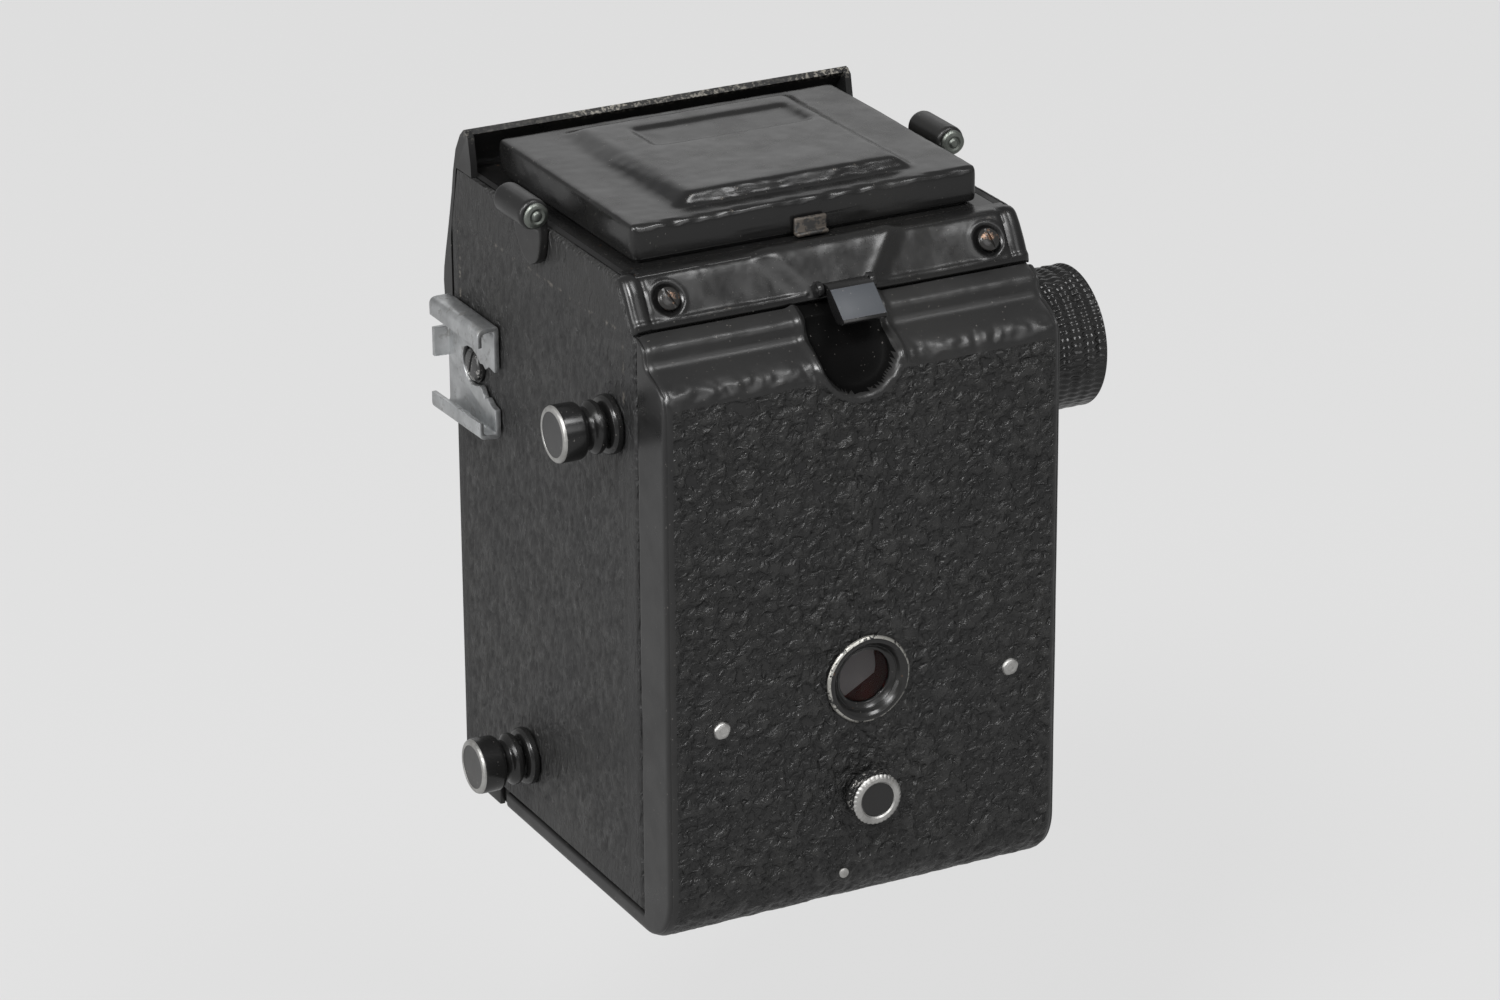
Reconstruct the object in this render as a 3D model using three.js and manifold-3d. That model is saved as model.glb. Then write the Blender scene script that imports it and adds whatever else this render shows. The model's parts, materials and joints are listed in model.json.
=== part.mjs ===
// Twin-lens reflex box camera for 120 roll film, in millimetres.
// +Z up, the lenses look towards -Y, the loading door is on +Y, the winding knob on -X.
// The origin is on the base plane, under the middle of the moulded body.
import * as THREE from 'three';
import { mergeVertices } from 'three/addons/utils/BufferGeometryUtils.js';
import Module from 'manifold-3d';

const wasm = await Module();
wasm.setup();

// ---- driving dimensions -------------------------------------------------
const HALF_W = 38.5;          // half width of the moulded body
const FRONT_Y = -42.4;        // front face of the body
const BACK_Y = 42.4;          // rear face of the loading door
const TOP_Z = 119.8;          // top edge of the side walls
const WALL = 2.4;             // door wall
const SPLIT_Y = 31.2;         // body walls end here, the door's flanges start 0.3 behind
const SPLIT_Z = 3.8;          // body walls start above the door's base
const CORNER_R = 10.5;        // rounded bottom rear corner of the door
const GAP = 0.3;
const TAKE_Z = 44.4;          // taking lens axis
const LENS_PITCH = 43.0;      // distance between the two lens axes
const VIEW_Z = TAKE_Z + LENS_PITCH;
const RING_TEETH = 40;
const RING_TIP_R = 22.05;
const RING_ROOT_R = 20.75;
const SPOOL_FLANGE_R = 12.6;  // 120 spool
const SPOOL_HALF_L = 32.75;
const TAKEUP = { y: 22.0, z: 92.5 };     // upper spool, winding knob and upper pull knob
const SUPPLY = { y: -14.5, z: 15.4 };    // lower spool and lower pull knob
const CASE_IN = 33.4;           // inner face of the casing's side walls
const DOOR_HINGE = { y: -27.15, z: 2.4 };
const LID_HINGE = { y: -29.6, z: 123.0 };
const LID_HALF_W = 33.5;
const LID_TOP = 126.6;
const LID_REAR = 21.0;
const PANEL_Z = 121.4;        // hinge height of the folding hood walls
const SIDE_HINGE_X = 30.5;
const REAR_HINGE_Y = 18.2;
const SIDE_H = 18.0;          // height of the raised side walls
const REAR_H = 14.0;
const MAG_HINGE = { y: 17.0, z: 123.9 };
const MAG_R = 10.0;
const WINDOW_Z = 44.9;
const SHUTTER_KNOB = { x: -0.3, z: 22.9 };
const RIVET_X = 28.5;
const RIVET_Z = 41.1;
const LATCH = { x0: -5.1, x1: 3.3, y: 32.4, z: 114.0 };
const SHOE = { y0: -42.0, y1: -22.5, z0: 74.3, z1: 95.6 };
const LUG = { x: 41.0, z: 123.1, y0: -13.0, y1: -1.7 };

// ---- helpers ------------------------------------------------------------
function solid(geometry) {
  const g = geometry.clone();
  for (const name of Object.keys(g.attributes)) if (name !== 'position') g.deleteAttribute(name);
  const m = mergeVertices(g, 1e-4);
  return new wasm.Manifold(new wasm.Mesh({
    numProp: 3,
    vertProperties: new Float32Array(m.attributes.position.array),
    triVerts: new Uint32Array(m.index.array),
  }));
}
const box = (x0, x1, y0, y1, z0, z1) => {
  const g = new THREE.BoxGeometry(x1 - x0, y1 - y0, z1 - z0);
  g.translate((x0 + x1) / 2, (y0 + y1) / 2, (z0 + z1) / 2);
  return solid(g);
};
function shapeOf(points) {
  const s = new THREE.Shape();
  const ccw = THREE.ShapeUtils.area(points.map(p => new THREE.Vector2(p[0], p[1]))) > 0;
  const list = ccw ? points : points.slice().reverse();
  list.forEach((p, i) => (i ? s.lineTo(p[0], p[1]) : s.moveTo(p[0], p[1])));
  s.closePath();
  return s;
}
const extrude = (points, depth) => new THREE.ExtrudeGeometry(shapeOf(points), { depth, bevelEnabled: false, steps: 1 });
// outline in (y, z) swept along X
function prismX(points, x0, x1) {
  const g = extrude(points, x1 - x0);
  g.applyMatrix4(new THREE.Matrix4().makeBasis(new THREE.Vector3(0, 1, 0), new THREE.Vector3(0, 0, 1), new THREE.Vector3(1, 0, 0)));
  g.translate(x0, 0, 0);
  return solid(g);
}
// outline in (x, z) swept along Y
function prismY(points, y0, y1) {
  const g = extrude(points, y1 - y0);
  g.applyMatrix4(new THREE.Matrix4().makeBasis(new THREE.Vector3(1, 0, 0), new THREE.Vector3(0, 0, 1), new THREE.Vector3(0, -1, 0)));
  g.translate(0, y1, 0);
  return solid(g);
}
// outline in (x, y) swept along Z
function prismZ(points, z0, z1) {
  const g = extrude(points, z1 - z0);
  g.translate(0, 0, z0);
  return solid(g);
}
function cylX(r, x0, x1, y, z, seg = 16) {
  const g = new THREE.CylinderGeometry(r, r, x1 - x0, seg);
  g.rotateZ(-Math.PI / 2);
  g.translate((x0 + x1) / 2, y, z);
  return solid(g);
}
function cylY(r, y0, y1, x, z, seg = 16) {
  const g = new THREE.CylinderGeometry(r, r, y1 - y0, seg);
  g.translate(x, (y0 + y1) / 2, z);
  return solid(g);
}
function cylZ(r, z0, z1, x, y, seg = 16) {
  const g = new THREE.CylinderGeometry(r, r, z1 - z0, seg);
  g.rotateX(Math.PI / 2);
  g.translate(x, y, (z0 + z1) / 2);
  return solid(g);
}
// profile of [radius, position] pairs turned about an axis along X or Y
function lathe(axis, profile, a, b, seg = 18) {
  let g = new THREE.LatheGeometry(profile.map(p => new THREE.Vector2(p[0], p[1])), seg);
  if (axis === 'X') { g.rotateZ(-Math.PI / 2); g.translate(0, a, b); }
  else g.translate(a, 0, b);
  let m = solid(g);
  if (m.volume() < 0) {
    g = new THREE.LatheGeometry(profile.slice().reverse().map(p => new THREE.Vector2(p[0], p[1])), seg);
    if (axis === 'X') { g.rotateZ(-Math.PI / 2); g.translate(0, a, b); }
    else g.translate(a, 0, b);
    m = solid(g);
  }
  return m;
}
const arc = (cy, cz, r, a0, a1, n) => Array.from({ length: n + 1 }, (_, i) => {
  const t = THREE.MathUtils.degToRad(a0 + (a1 - a0) * i / n);
  return [cy + r * Math.cos(t), cz + r * Math.sin(t)];
});

const part = new THREE.Group();
function add(name, body, color, roughness, metalness) {
  const mesh = body.getMesh();
  const g = new THREE.BufferGeometry();
  g.setAttribute('position', new THREE.BufferAttribute(new Float32Array(mesh.vertProperties), 3));
  g.setIndex(new THREE.BufferAttribute(new Uint32Array(mesh.triVerts), 1));
  g.computeVertexNormals();
  const m = new THREE.Mesh(g, new THREE.MeshStandardMaterial({ color, roughness, metalness }));
  m.name = name;
  part.add(m);
}
const BAKELITE = 0x1b1b1c, PAINT = 0x161617, STEEL = 0xb8babc, CHROME = 0xd0d0d0, GLASS = 0xbfd0d4, BRASS = 0xa07a3c;

// ---- moulded body -------------------------------------------------------
// Side outline: fixed strip in front of the door hinge, walls above the door's
// base, sloped rear shoulder under the hood's rear plate, sloped front top.
// The casing is two thick side walls joined by the front wall and the base strip;
// the exposure chamber with the spool bays and the mirror seat is set in between.
let shell = prismX([
  [FRONT_Y, 0], [-27.3, 0], [-27.3, SPLIT_Z], [SPLIT_Y, SPLIT_Z], [SPLIT_Y, 110.4], [30.1, 110.9],
  [25.0, 118.4], [24.9, TOP_Z], [-38.9, TOP_Z], [FRONT_Y, 106],
], -HALF_W, HALF_W);
shell = shell.subtract(box(-36, 36, -50, 32, 118.4, 125));                         // seat of the hood base
shell = shell.subtract(prismX([
  [-40.4, 3.0], [-28.5, 3.0], [-28.5, -1], [40, -1], [40, 125], [-38.2, 125], [-40.4, 106],
], -CASE_IN, CASE_IN));
// light-trap ribs behind the side walls' edge
for (const s of [1, -1]) shell = shell.add(box(s > 0 ? 34.0 : -35.8, s > 0 ? 35.8 : -34.0, SPLIT_Y - 1, 35.0, 6, 102));
shell = shell.subtract(cylY(9.5, -44, -35.0, 0, TAKE_Z, 24)).subtract(cylY(13.6, -44, -39, 0, VIEW_Z, 24));
// bearings, hinge clearance, tripod bush seat, screw holes
shell = shell.subtract(cylX(4.9, 30, 41, TAKEUP.y, TAKEUP.z)).subtract(cylX(4.9, -41, -30, TAKEUP.y, TAKEUP.z));
shell = shell.subtract(cylX(4.9, 30, 41, SUPPLY.y, SUPPLY.z));
shell = shell.subtract(box(-20.4, 20.4, -29.6, -27.0, -1, 2.4)).subtract(cylX(2.45, -20.4, 20.4, DOOR_HINGE.y, DOOR_HINGE.z, 14));
for (const s of [1, -1]) {
  const a = s > 0 ? 35.9 : -39, b = s > 0 ? 39 : -35.9;
  shell = shell.subtract(cylX(2.45, a, b, DOOR_HINGE.y, DOOR_HINGE.z, 14)).subtract(box(a, b, -29.6, -27.0, -1, 2.4));
  // fixed hinge knuckles
  const k0 = s > 0 ? 20.7 : -35.6, k1 = s > 0 ? 35.6 : -20.7;
  shell = shell.add(cylX(2.05, k0, k1, DOOR_HINGE.y, DOOR_HINGE.z, 14)).add(box(k0, k1, -29.0, -27.15, 0.4, 3.0));
}
shell = shell.subtract(cylX(1.15, -36, 36, DOOR_HINGE.y, DOOR_HINGE.z, 14));
shell = shell.subtract(cylZ(6.3, -1, 4, 0, -35.8, 14));
shell = shell.subtract(cylX(1.9, 35.5, 39, -32.5, 85, 14));
for (const x of [-31, 31]) shell = shell.subtract(cylZ(1.5, -4, 4, 0, 0, 14).rotate([-57.2, 0, 0]).translate([x, 28.6, 115.9]));
add('body_shell', shell, BAKELITE, 0.5, 0.0);

// ---- exposure chamber: film gate and cone, spool bays, 45 degree mirror seat
{
  const w = CASE_IN - GAP;
  let c = prismX([
    [-40.1, 6.6], [-40.1, 103.6], [-32.2, 108], [-32.2, 112.2], [17.5, 112.2], [17.5, 117.6], [24.6, 117.6], [30.0, 109.6],
    [SPLIT_Y, 108], [SPLIT_Y, 78.3], [35.6, 78.3], [35.6, 14], [SPLIT_Y, 14], [SPLIT_Y, 10.5], [-1.1, 10.5], [-1.1, 4.2], [-27.2, 4.2], [-27.2, 6.6],
  ], -w, w);
  const g = new THREE.CylinderGeometry(28 * Math.SQRT2, 8 * Math.SQRT2, 72, 4);
  g.rotateY(Math.PI / 4);
  g.translate(0, 0, TAKE_Z);
  c = c.subtract(solid(g)).subtract(box(-28, 28, 35.5, 37, TAKE_Z - 28, TAKE_Z + 28));
  c = c.subtract(cylY(9.5, -44, -35.0, 0, TAKE_Z, 24));
  // lower bay, open downwards onto the door's base, and upper bay, open to the rear
  c = c.subtract(prismX([...arc(SUPPLY.y, SUPPLY.z, 13.4, 0, 180, 8), [SUPPLY.y - 12.7, 0], [-1.1, 0]], -40, 40));
  c = c.subtract(prismX([...arc(TAKEUP.y, TAKEUP.z, 14, 90, 270, 8), [40, TAKEUP.z - 13.5], [40, 104], [27, 106.3]], -40, 40));
  // mirror box, opening upwards to the screen
  c = c.subtract(prismX([
    [-42, 70], [-22.8, 70], [8.5, 101.3], [8.5, 103], [12, 107.6], [17.2, 108.5], [17.2, 119], [-32.5, 119], [-42, 108],
  ], -28, 28));
  // open bays on both sides of the cone, behind the front wall
  for (const s of [1, -1]) {
    c = c.subtract(prismZ([[s * 13.5, -42], [s * 40, -42], [s * 40, 5.5], [s * 23, 5.5]], 31.5, 67));
  }
  add('exposure_chamber', c, BAKELITE, 0.6, 0.0);
}


// ---- front panel: flat plate that swells forward above the viewing lens and
// leans back to a lip over the hood, with short side returns
{
  const lower = prismX([[-43.9, 5], [-42.7, 5], [-42.7, 92], [-43.9, 92]], -36, 36);
  const upper = prismX([
    [-43.9, 89], [-42.7, 89], [-42.7, 106.2], [-41.6, 110.7], [-40.6, 114.8], [-39.8, 118.9], [-38.7, 122.4], [-35.0, 127.3],
    [-35.8, 128.1], [-39.7, 123.2], [-40.9, 119.1], [-41.7, 115], [-42.7, 111], [-43.8, 106.9], [-45.0, 102.7], [-46.2, 98.5], [-46.2, 94.5],
  ], -HALF_W, HALF_W);
  let p = lower.add(upper);
  for (const s of [1, -1]) {
    p = p.add(prismX([[-40.4, 120.1], [-39.4, 123.0], [-35.6, 127.9], [-34.2, 127.2], [-33.2, 120.1]], s > 0 ? 37.3 : -HALF_W, s > 0 ? HALF_W : -37.3));
  }
  p = p.subtract(cylY(17.4, -60, -43.9, 0, VIEW_Z, 24)).subtract(cylY(13.6, -60, -42, 0, VIEW_Z, 24)).subtract(cylY(12, -60, -42, 0, TAKE_Z, 24));
  add('front_panel', p, PAINT, 0.35, 0.2);
}
add('viewing_lens_tube', lathe('Y', [[13.2, -49.7], [16.8, -49.7], [16.8, -44.2], [13.2, -44.2], [13.2, -49.7]], 0, VIEW_Z, 24), PAINT, 0.4, 0.3);
add('shutter_housing', lathe('Y', [[11.6, -46.0], [23.2, -46.0], [24.0, -45.2], [24.0, -44.2], [11.6, -44.2], [11.6, -46.0]], 0, TAKE_Z, 24), PAINT, 0.35, 0.3);
add('shutter_face', lathe('Y', [[12.2, -49.8], [23.0, -49.8], [23.8, -49.2], [23.8, -49.0], [12.2, -49.0], [12.2, -49.8]], 0, TAKE_Z, 24), STEEL, 0.3, 0.8);
add('rear_lens', lathe('Y', [[0, -41.6], [9.1, -40.8], [9.1, -38.8], [0, -38.0]], 0, TAKE_Z, 14), GLASS, 0.05, 0.0);

// ring levers around the taking lens, each at its own level
function ringLever(y0, y1, angle, r0, reach, tab) {
  let m = lathe('Y', [[12.6, y0], [r0, y0], [r0, y1], [12.6, y1], [12.6, y0]], 0, 0, 24);
  let arm = box(r0 - 3, reach, y0, y1, -1.9, 1.9).add(cylY(1.9, y0, y1, reach, 0, 14));
  if (tab) arm = arm.add(box(reach - 0.6, reach + 1.6, y0 - tab, y1, -1.9, 1.9));
  return m.add(arm.rotate([0, -angle, 0])).translate([0, 0, TAKE_Z]);
}
add('cocking_lever', ringLever(-46.9, -46.3, 24, 21.5, 28.0, 4.0), STEEL, 0.3, 0.9);
add('speed_lever', ringLever(-47.8, -47.2, 200, 21.5, 27.0, 2.0), STEEL, 0.3, 0.9);
add('aperture_lever', ringLever(-48.7, -48.1, 280, 21.5, 26.5, 0.8), STEEL, 0.3, 0.9);
// release lever and self-timer lever turn on studs in the front panel's corners
function studLever(x, z, angle, length, tab) {
  let m = cylY(2.6, -45.8, -44.2, 0, 0, 14).add(box(0, length, -45.6, -44.4, -1.6, 1.6)).add(cylY(1.6, -45.6, -44.4, length, 0, 14));
  m = m.add(cylY(1.2, -45.6 - tab, -44.4, length, 0, 14));
  return m.rotate([0, -angle, 0]).translate([x, 0, z]);
}
add('shutter_release_lever', studLever(31.5, 28.0, -75, 9.0, 2.5), STEEL, 0.3, 0.9);
add('self_timer_lever', studLever(-30.5, 25.0, -80, 9.0, 3.0), STEEL, 0.3, 0.9);
add('flash_socket', lathe('Y', [[0, -46.0], [1.2, -46.0], [1.2, -49.5], [2.6, -49.5], [2.6, -45.6], [3.4, -45.6], [3.4, -44.2], [0, -44.2]], -29.5, 64.0, 14), STEEL, 0.3, 0.9);

// ---- toothed focusing rings, meshing between the two lenses --------------
function ringOutline(phase) {
  const pts = [];
  const step = 360 / RING_TEETH;
  for (let i = 0; i < RING_TEETH; i++) {
    const c = phase + i * step;
    for (const [r, d] of [[RING_ROOT_R, -0.34], [RING_TIP_R, -0.13], [RING_TIP_R, 0.13], [RING_ROOT_R, 0.34]]) {
      const t = THREE.MathUtils.degToRad(c + d * step);
      pts.push([r * Math.cos(t), r * Math.sin(t)]);
    }
  }
  return pts;
}
function focusRing(phase, bore, z) {
  let m = prismY(ringOutline(phase), -54.6, -50.4);
  m = m.add(lathe('Y', [[0, -55.9], [bore + 3.4, -55.9], [bore + 4.2, -55.2], [bore + 4.2, -54.0], [0, -54.0]], 0, 0, 24));
  m = m.subtract(cylY(bore, -60, -48, 0, 0, 24));
  return m.translate([0, 0, z]);
}
// a tooth of the taking ring stands at 90 degrees, a gap of the viewing ring at 270
add('taking_focus_ring', focusRing(90, 11.6, TAKE_Z), PAINT, 0.35, 0.4);
add('viewing_focus_ring', focusRing(270 + 180 / RING_TEETH, 13.6, VIEW_Z), PAINT, 0.35, 0.4);
add('taking_front_glass', lathe('Y', [[0, -55.0], [6.5, -54.6], [11.2, -53.4], [11.2, -51.8], [0, -51.0]], 0, TAKE_Z, 24), GLASS, 0.05, 0);
add('viewing_front_glass', lathe('Y', [[0, -55.3], [8, -54.7], [13.2, -53.2], [13.2, -51.8], [0, -50.8]], 0, VIEW_Z, 24), GLASS, 0.05, 0);

// ---- finder: mirror and field-lens screen ---------------------------------
{
  const d = (n, t) => [n[0] + t * 0.7071, n[1] - t * 0.7071];
  const a = [-22.3, 71.6 + 1.5], b = [7.3, 71.6 + 1.5 + 29.6];
  add('mirror', prismX([a, b, d(b, 1.5), d(a, 1.5)], -26, 26), 0xdfe3e6, 0.03, 1.0);
}
{
  let s = box(-27.6, 27.6, -31.8, 17.2, 112.6, 115.2);
  const dome = lathe('Y', [[0, 4.2], [6, 4.08], [12, 3.72], [18, 3.12], [23.5, 2.35], [23.5, 1.0], [0, 1.0]], 0, 0, 24).rotate([90, 0, 0]).translate([0, -7.3, 113.4]);
  s = s.add(dome);
  add('focusing_screen', s, 0xc9d2d2, 0.3, 0.0);
}

// ---- hood base: frame around the screen, sloped rear plate, rim, hinge ears
{
  let h = box(-35.7, 35.7, -38.2, 25.6, 118.7, TOP_Z).subtract(box(-26.4, 26.4, -27.5, 16.2, 118, 121));
  const slope = [[25.3, 118.7], [25.3, TOP_Z], [26.5, TOP_Z], [31.4, 112.2], [30.5, 111.6]];
  h = h.add(prismX(slope, -HALF_W + 0.2, HALF_W - 0.2));
  // raised middle of the rear plate, in front of the latch
  h = h.add(prismX([[26.0, 119.0], [27.4, 120.6], [28.6, 119.6], [32.0, 115.4], [31.3, 113.0], [30.4, 112.4]], -9.5, 7.7)
    .subtract(cylX(1.5, -9, 7, LATCH.y, LATCH.z, 14)));
  // rim inside the lid's skirt
  h = h.add(box(-32.1, 32.1, -27.6, 19.7, TOP_Z - 0.2, 120.7).subtract(box(-31.5, 31.5, -28, 19.1, 119, 121)));
  // ears for the lid's hinge pin
  for (const s of [1, -1]) {
    const x0 = s > 0 ? 29.6 : -31.4, x1 = s > 0 ? 31.4 : -29.6;
    h = h.add(prismX([[-32.0, 119.5], [-31.6, 123.7], [-30.7, 124.7], [-28.5, 124.7], [-27.7, 123.7], [-27.5, 119.5]], x0, x1));
  }
  h = h.subtract(cylX(1.2, -33, 33, LID_HINGE.y, LID_HINGE.z, 14));
  // latch ears
  for (const s of [1, -1]) {
    const x0 = s > 0 ? LATCH.x1 + GAP : LATCH.x0 - GAP - 1.1, x1 = x0 + 1.1;
    h = h.add(cylX(1.35, x0, x1, LATCH.y, LATCH.z, 14)).add(prismX([[30.2, 113.6], [31.6, 115.3], [32.9, 114.0], [31.6, 112.7], [30.6, 112.4]], x0, x1));
  }
  // clearance holes of the two rear screws
  for (const x of [-31, 31]) {
    h = h.subtract(cylZ(1.5, -4, 4, 0, 0, 14).rotate([-57.2, 0, 0]).translate([x, 28.6, 115.9]));
  }
  // the upper front edge leans with the front panel
  add('hood_base', h, PAINT, 0.35, 0.3);
}
for (const [name, x] of [['hood_screw_left', 31], ['hood_screw_right', -31]]) {
  let s = lathe('Y', [[0, -1.9], [1.1, -1.9], [1.1, 0.4], [2.0, 0.4], [2.0, 0.9], [1.5, 1.3], [0, 1.4]], 0, 0, 14);
  s = s.subtract(box(-0.25, 0.25, 0.9, 2, -3, 3));
  s = s.rotate([32.8, 0, 0]);
  add(name, s.translate([x, 28.95, 115.95]), 0x7a5c48, 0.5, 0.7);
}
add('lid_hinge_pin', cylX(0.9, -31.3, 31.3, LID_HINGE.y, LID_HINGE.z, 14), STEEL, 0.3, 0.9);

// ---- strap lugs: a plate on the side wall with a barrel along Y -----------
for (const [side, s] of [['left', 1], ['right', -1]]) {
  const px = (a, b) => (s > 0 ? [a, b] : [-b, -a]);
  let [x0, x1] = px(38.8, 40.1);
  let l = prismX([[LUG.y0 + 1.0, LUG.z], [LUG.y0 + 1.6, 115.5], [-6.0, 112.4], [-2.6, 113.6], [LUG.y1, LUG.z]], x0, x1);
  l = l.add(cylY(2.8, LUG.y0, LUG.y1, s * LUG.x, LUG.z, 14));
  l = l.subtract(cylY(1.9, LUG.y0 - 1, LUG.y1 + 1, s * LUG.x, LUG.z, 14));
  add('strap_lug_' + side, l, PAINT, 0.4, 0.3);
  add('strap_pin_' + side, lathe('Y', [[0, LUG.y0 - 0.4], [1.2, LUG.y0 - 0.4], [1.6, LUG.y0], [1.6, LUG.y1 + 0.3], [2.3, LUG.y1 + 0.3], [2.3, LUG.y1 + 0.7], [1.6, LUG.y1 + 1.2], [0, LUG.y1 + 1.3]], s * LUG.x, LUG.z, 14), STEEL, 0.35, 0.9);
}

// ---- accessory shoe: base plate, two channel rails, front stop tabs -------
{
  const { y0, y1, z0, z1 } = SHOE;
  const b = 38.8, t = 1.0, out = 43.4, lip = 3.4;
  const rail = (zw, dir) => [
    [b, zw], [out - 1.2, zw], [out - 0.3, zw + dir * 0.5], [out, zw + dir * 1.6], [out - 0.3, zw + dir * (lip - 0.3)], [out - 0.9, zw + dir * lip],
    [out - 1.2, zw + dir * (lip - 0.6)], [out - 1.0, zw + dir * 1.8], [out - 1.5, zw + dir * t], [b, zw + dir * t],
  ];
  const prof = (pts, a, c) => {
    const g = extrude(pts, c - a);
    g.applyMatrix4(new THREE.Matrix4().makeBasis(new THREE.Vector3(1, 0, 0), new THREE.Vector3(0, 0, 1), new THREE.Vector3(0, -1, 0)));
    g.translate(0, c, 0);
    return solid(g);
  };
  let m = box(b, b + t, y0, y1, z0 + 0.2, z1 - 0.2);
  m = m.add(prof(rail(z1, -1), y0, y1)).add(prof(rail(z0, 1), y0, y1));
  m = m.add(box(b, b + 3.2, y0 - 1.0, y0, z1 - 7.2, z1 - 3.6)).add(box(b, b + 3.2, y0 - 1.0, y0, z0 + 3.6, z0 + 7.2));
  m = m.add(box(b, b + t, y0 - 1, y0 + 1, z0 + 2, z1 - 2));
  m = m.subtract(cylX(3.4, 38, 41, -32.5, 85, 16));
  add('accessory_shoe', m, STEEL, 0.3, 0.95);
  let s = lathe('X', [[0, 36.4], [1.5, 36.4], [1.5, 38.85], [3.0, 38.85], [3.0, 39.6], [2.6, 39.85], [0, 39.9]], -32.5, 85, 14);
  s = s.subtract(box(39.5, 42, -36, -29, 84.65, 85.35));
  add('shoe_screw', s, 0x3a3a3a, 0.5, 0.8);
}
add('tripod_bush', lathe('Y', [[4.4, 0], [6.0, 0], [6.0, 3.7], [4.4, 3.7], [4.4, 0]], 0, 0, 14).rotate([90, 0, 0]).translate([0, -35.8, 0]), STEEL, 0.35, 0.9);

// ---- bearings of the knobs ------------------------------------------------
const bush = (y, z) => lathe('X', [[2.5, 34.0], [4.6, 34.0], [4.6, 38.8], [6.3, 38.8], [6.3, 40.0], [5.7, 40.5], [2.5, 40.5], [2.5, 34.0]], y, z, 14);
add('upper_knob_bush', bush(TAKEUP.y, TAKEUP.z), 0x202020, 0.4, 0.6);
add('lower_knob_bush', bush(SUPPLY.y, SUPPLY.z), 0x202020, 0.4, 0.6);
add('winding_bush', lathe('X', [[2.5, -40.3], [7.6, -40.3], [7.9, -39.8], [7.9, -38.8], [4.6, -38.8], [4.6, -34.0], [2.5, -34.0], [2.5, -40.3]], TAKEUP.y, TAKEUP.z, 14), 0x202020, 0.4, 0.6);
const guide = (y, z) => cylX(2.0, -32.9, 32.9, y, z, 14);
add('film_guide_upper', guide(33.7, 80.8), STEEL, 0.2, 1.0);
add('film_guide_lower', guide(33.7, 11.6), STEEL, 0.2, 1.0);
add('door_hinge_pin', cylX(0.9, -35.4, 35.4, DOOR_HINGE.y, DOOR_HINGE.z, 14), STEEL, 0.3, 0.9);

// ---- loading door: rear wall and base in one L-shaped tray ----------------
{
  const c = BACK_Y - CORNER_R;
  const outer = [
    [31.9, 111.3], [34.6, 109.5], [35.4, 106.8], [39.9, 104.4], [41.4, 102.9], [BACK_Y, 100.4], ...arc(c, CORNER_R, CORNER_R, 0, -90, 8),
    [-24.6, 0], [-24.6, 3.5], [SPLIT_Y + GAP, 3.5], [SPLIT_Y + GAP, 111.3],
  ];
  let d = prismX(outer, -HALF_W, HALF_W);
  const r = CORNER_R - WALL;
  d = d.subtract(prismX([
    [30, 109.6], [33.2, 107.9], [34.0, 105.3], [38.4, 103.0], [BACK_Y - WALL, 99.6], ...arc(c, CORNER_R, r, 0, -90, 6), [-26, WALL], [-26, 20], [30, 20],
  ], -36.2, 36.2));
  // finger recess below the latch: thicken the wall inside, then cut from outside
  const inner = prismX([[40.4, 94.0], [37.2, 95.4], [36.2, 102.2], [32.6, 106.6], [31.9, 109.0], [31.9, 110.9], [34.4, 109.2], [35.2, 106.6], [39.7, 104.2], [41.6, 100]], -8.9, 10.5);
  d = d.add(inner);
  const cut = prismX([[38.9, 94], [37.9, 103.2], [34.2, 107.6], [33.5, 111.0], [33.2, 114], [46, 114], [46, 94]], -9, 11)
    .intersect(cylY(7.7, 30, 47, 0.8, 105, 24).add(box(-6.9, 8.5, 30, 47, 105, 115)));
  d = d.subtract(cut);
  // knuckles on the hinge axis, in the middle and at the ends of the side flanges
  d = d.add(cylX(2.05, -20.1, 20.1, DOOR_HINGE.y, DOOR_HINGE.z, 14)).add(box(-20.1, 20.1, DOOR_HINGE.y, -24.4, 0.4, 2.4));
  for (const s of [1, -1]) {
    const a = s > 0 ? 36.2 : -HALF_W, b = s > 0 ? HALF_W : -36.2;
    d = d.add(cylX(2.05, a, b, DOOR_HINGE.y, DOOR_HINGE.z, 14)).add(box(a, b, DOOR_HINGE.y, -24.4, 0.4, 3.5));
  }
  d = d.subtract(cylX(1.15, -36, 36, DOOR_HINGE.y, DOOR_HINGE.z, 14));
  d = d.subtract(cylY(6.2, 39, 44, 0, WINDOW_Z, 14)).subtract(cylY(1.9, 39, 44, SHUTTER_KNOB.x, SHUTTER_KNOB.z, 14));
  for (const x of [-RIVET_X, RIVET_X]) d = d.subtract(cylY(1.3, 39, 44, x, RIVET_Z, 14));
  d = d.subtract(cylY(1.0, 36, 44, 4.5, 8.3, 12));
  add('back_door', d, BAKELITE, 0.5, 0);
}
add('pressure_plate', box(-31, 31, 36.2, 37.0, 17, 75.5).subtract(cylY(7, 35, 38, 0, WINDOW_Z, 14)), 0x222222, 0.4, 0.6);
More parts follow.
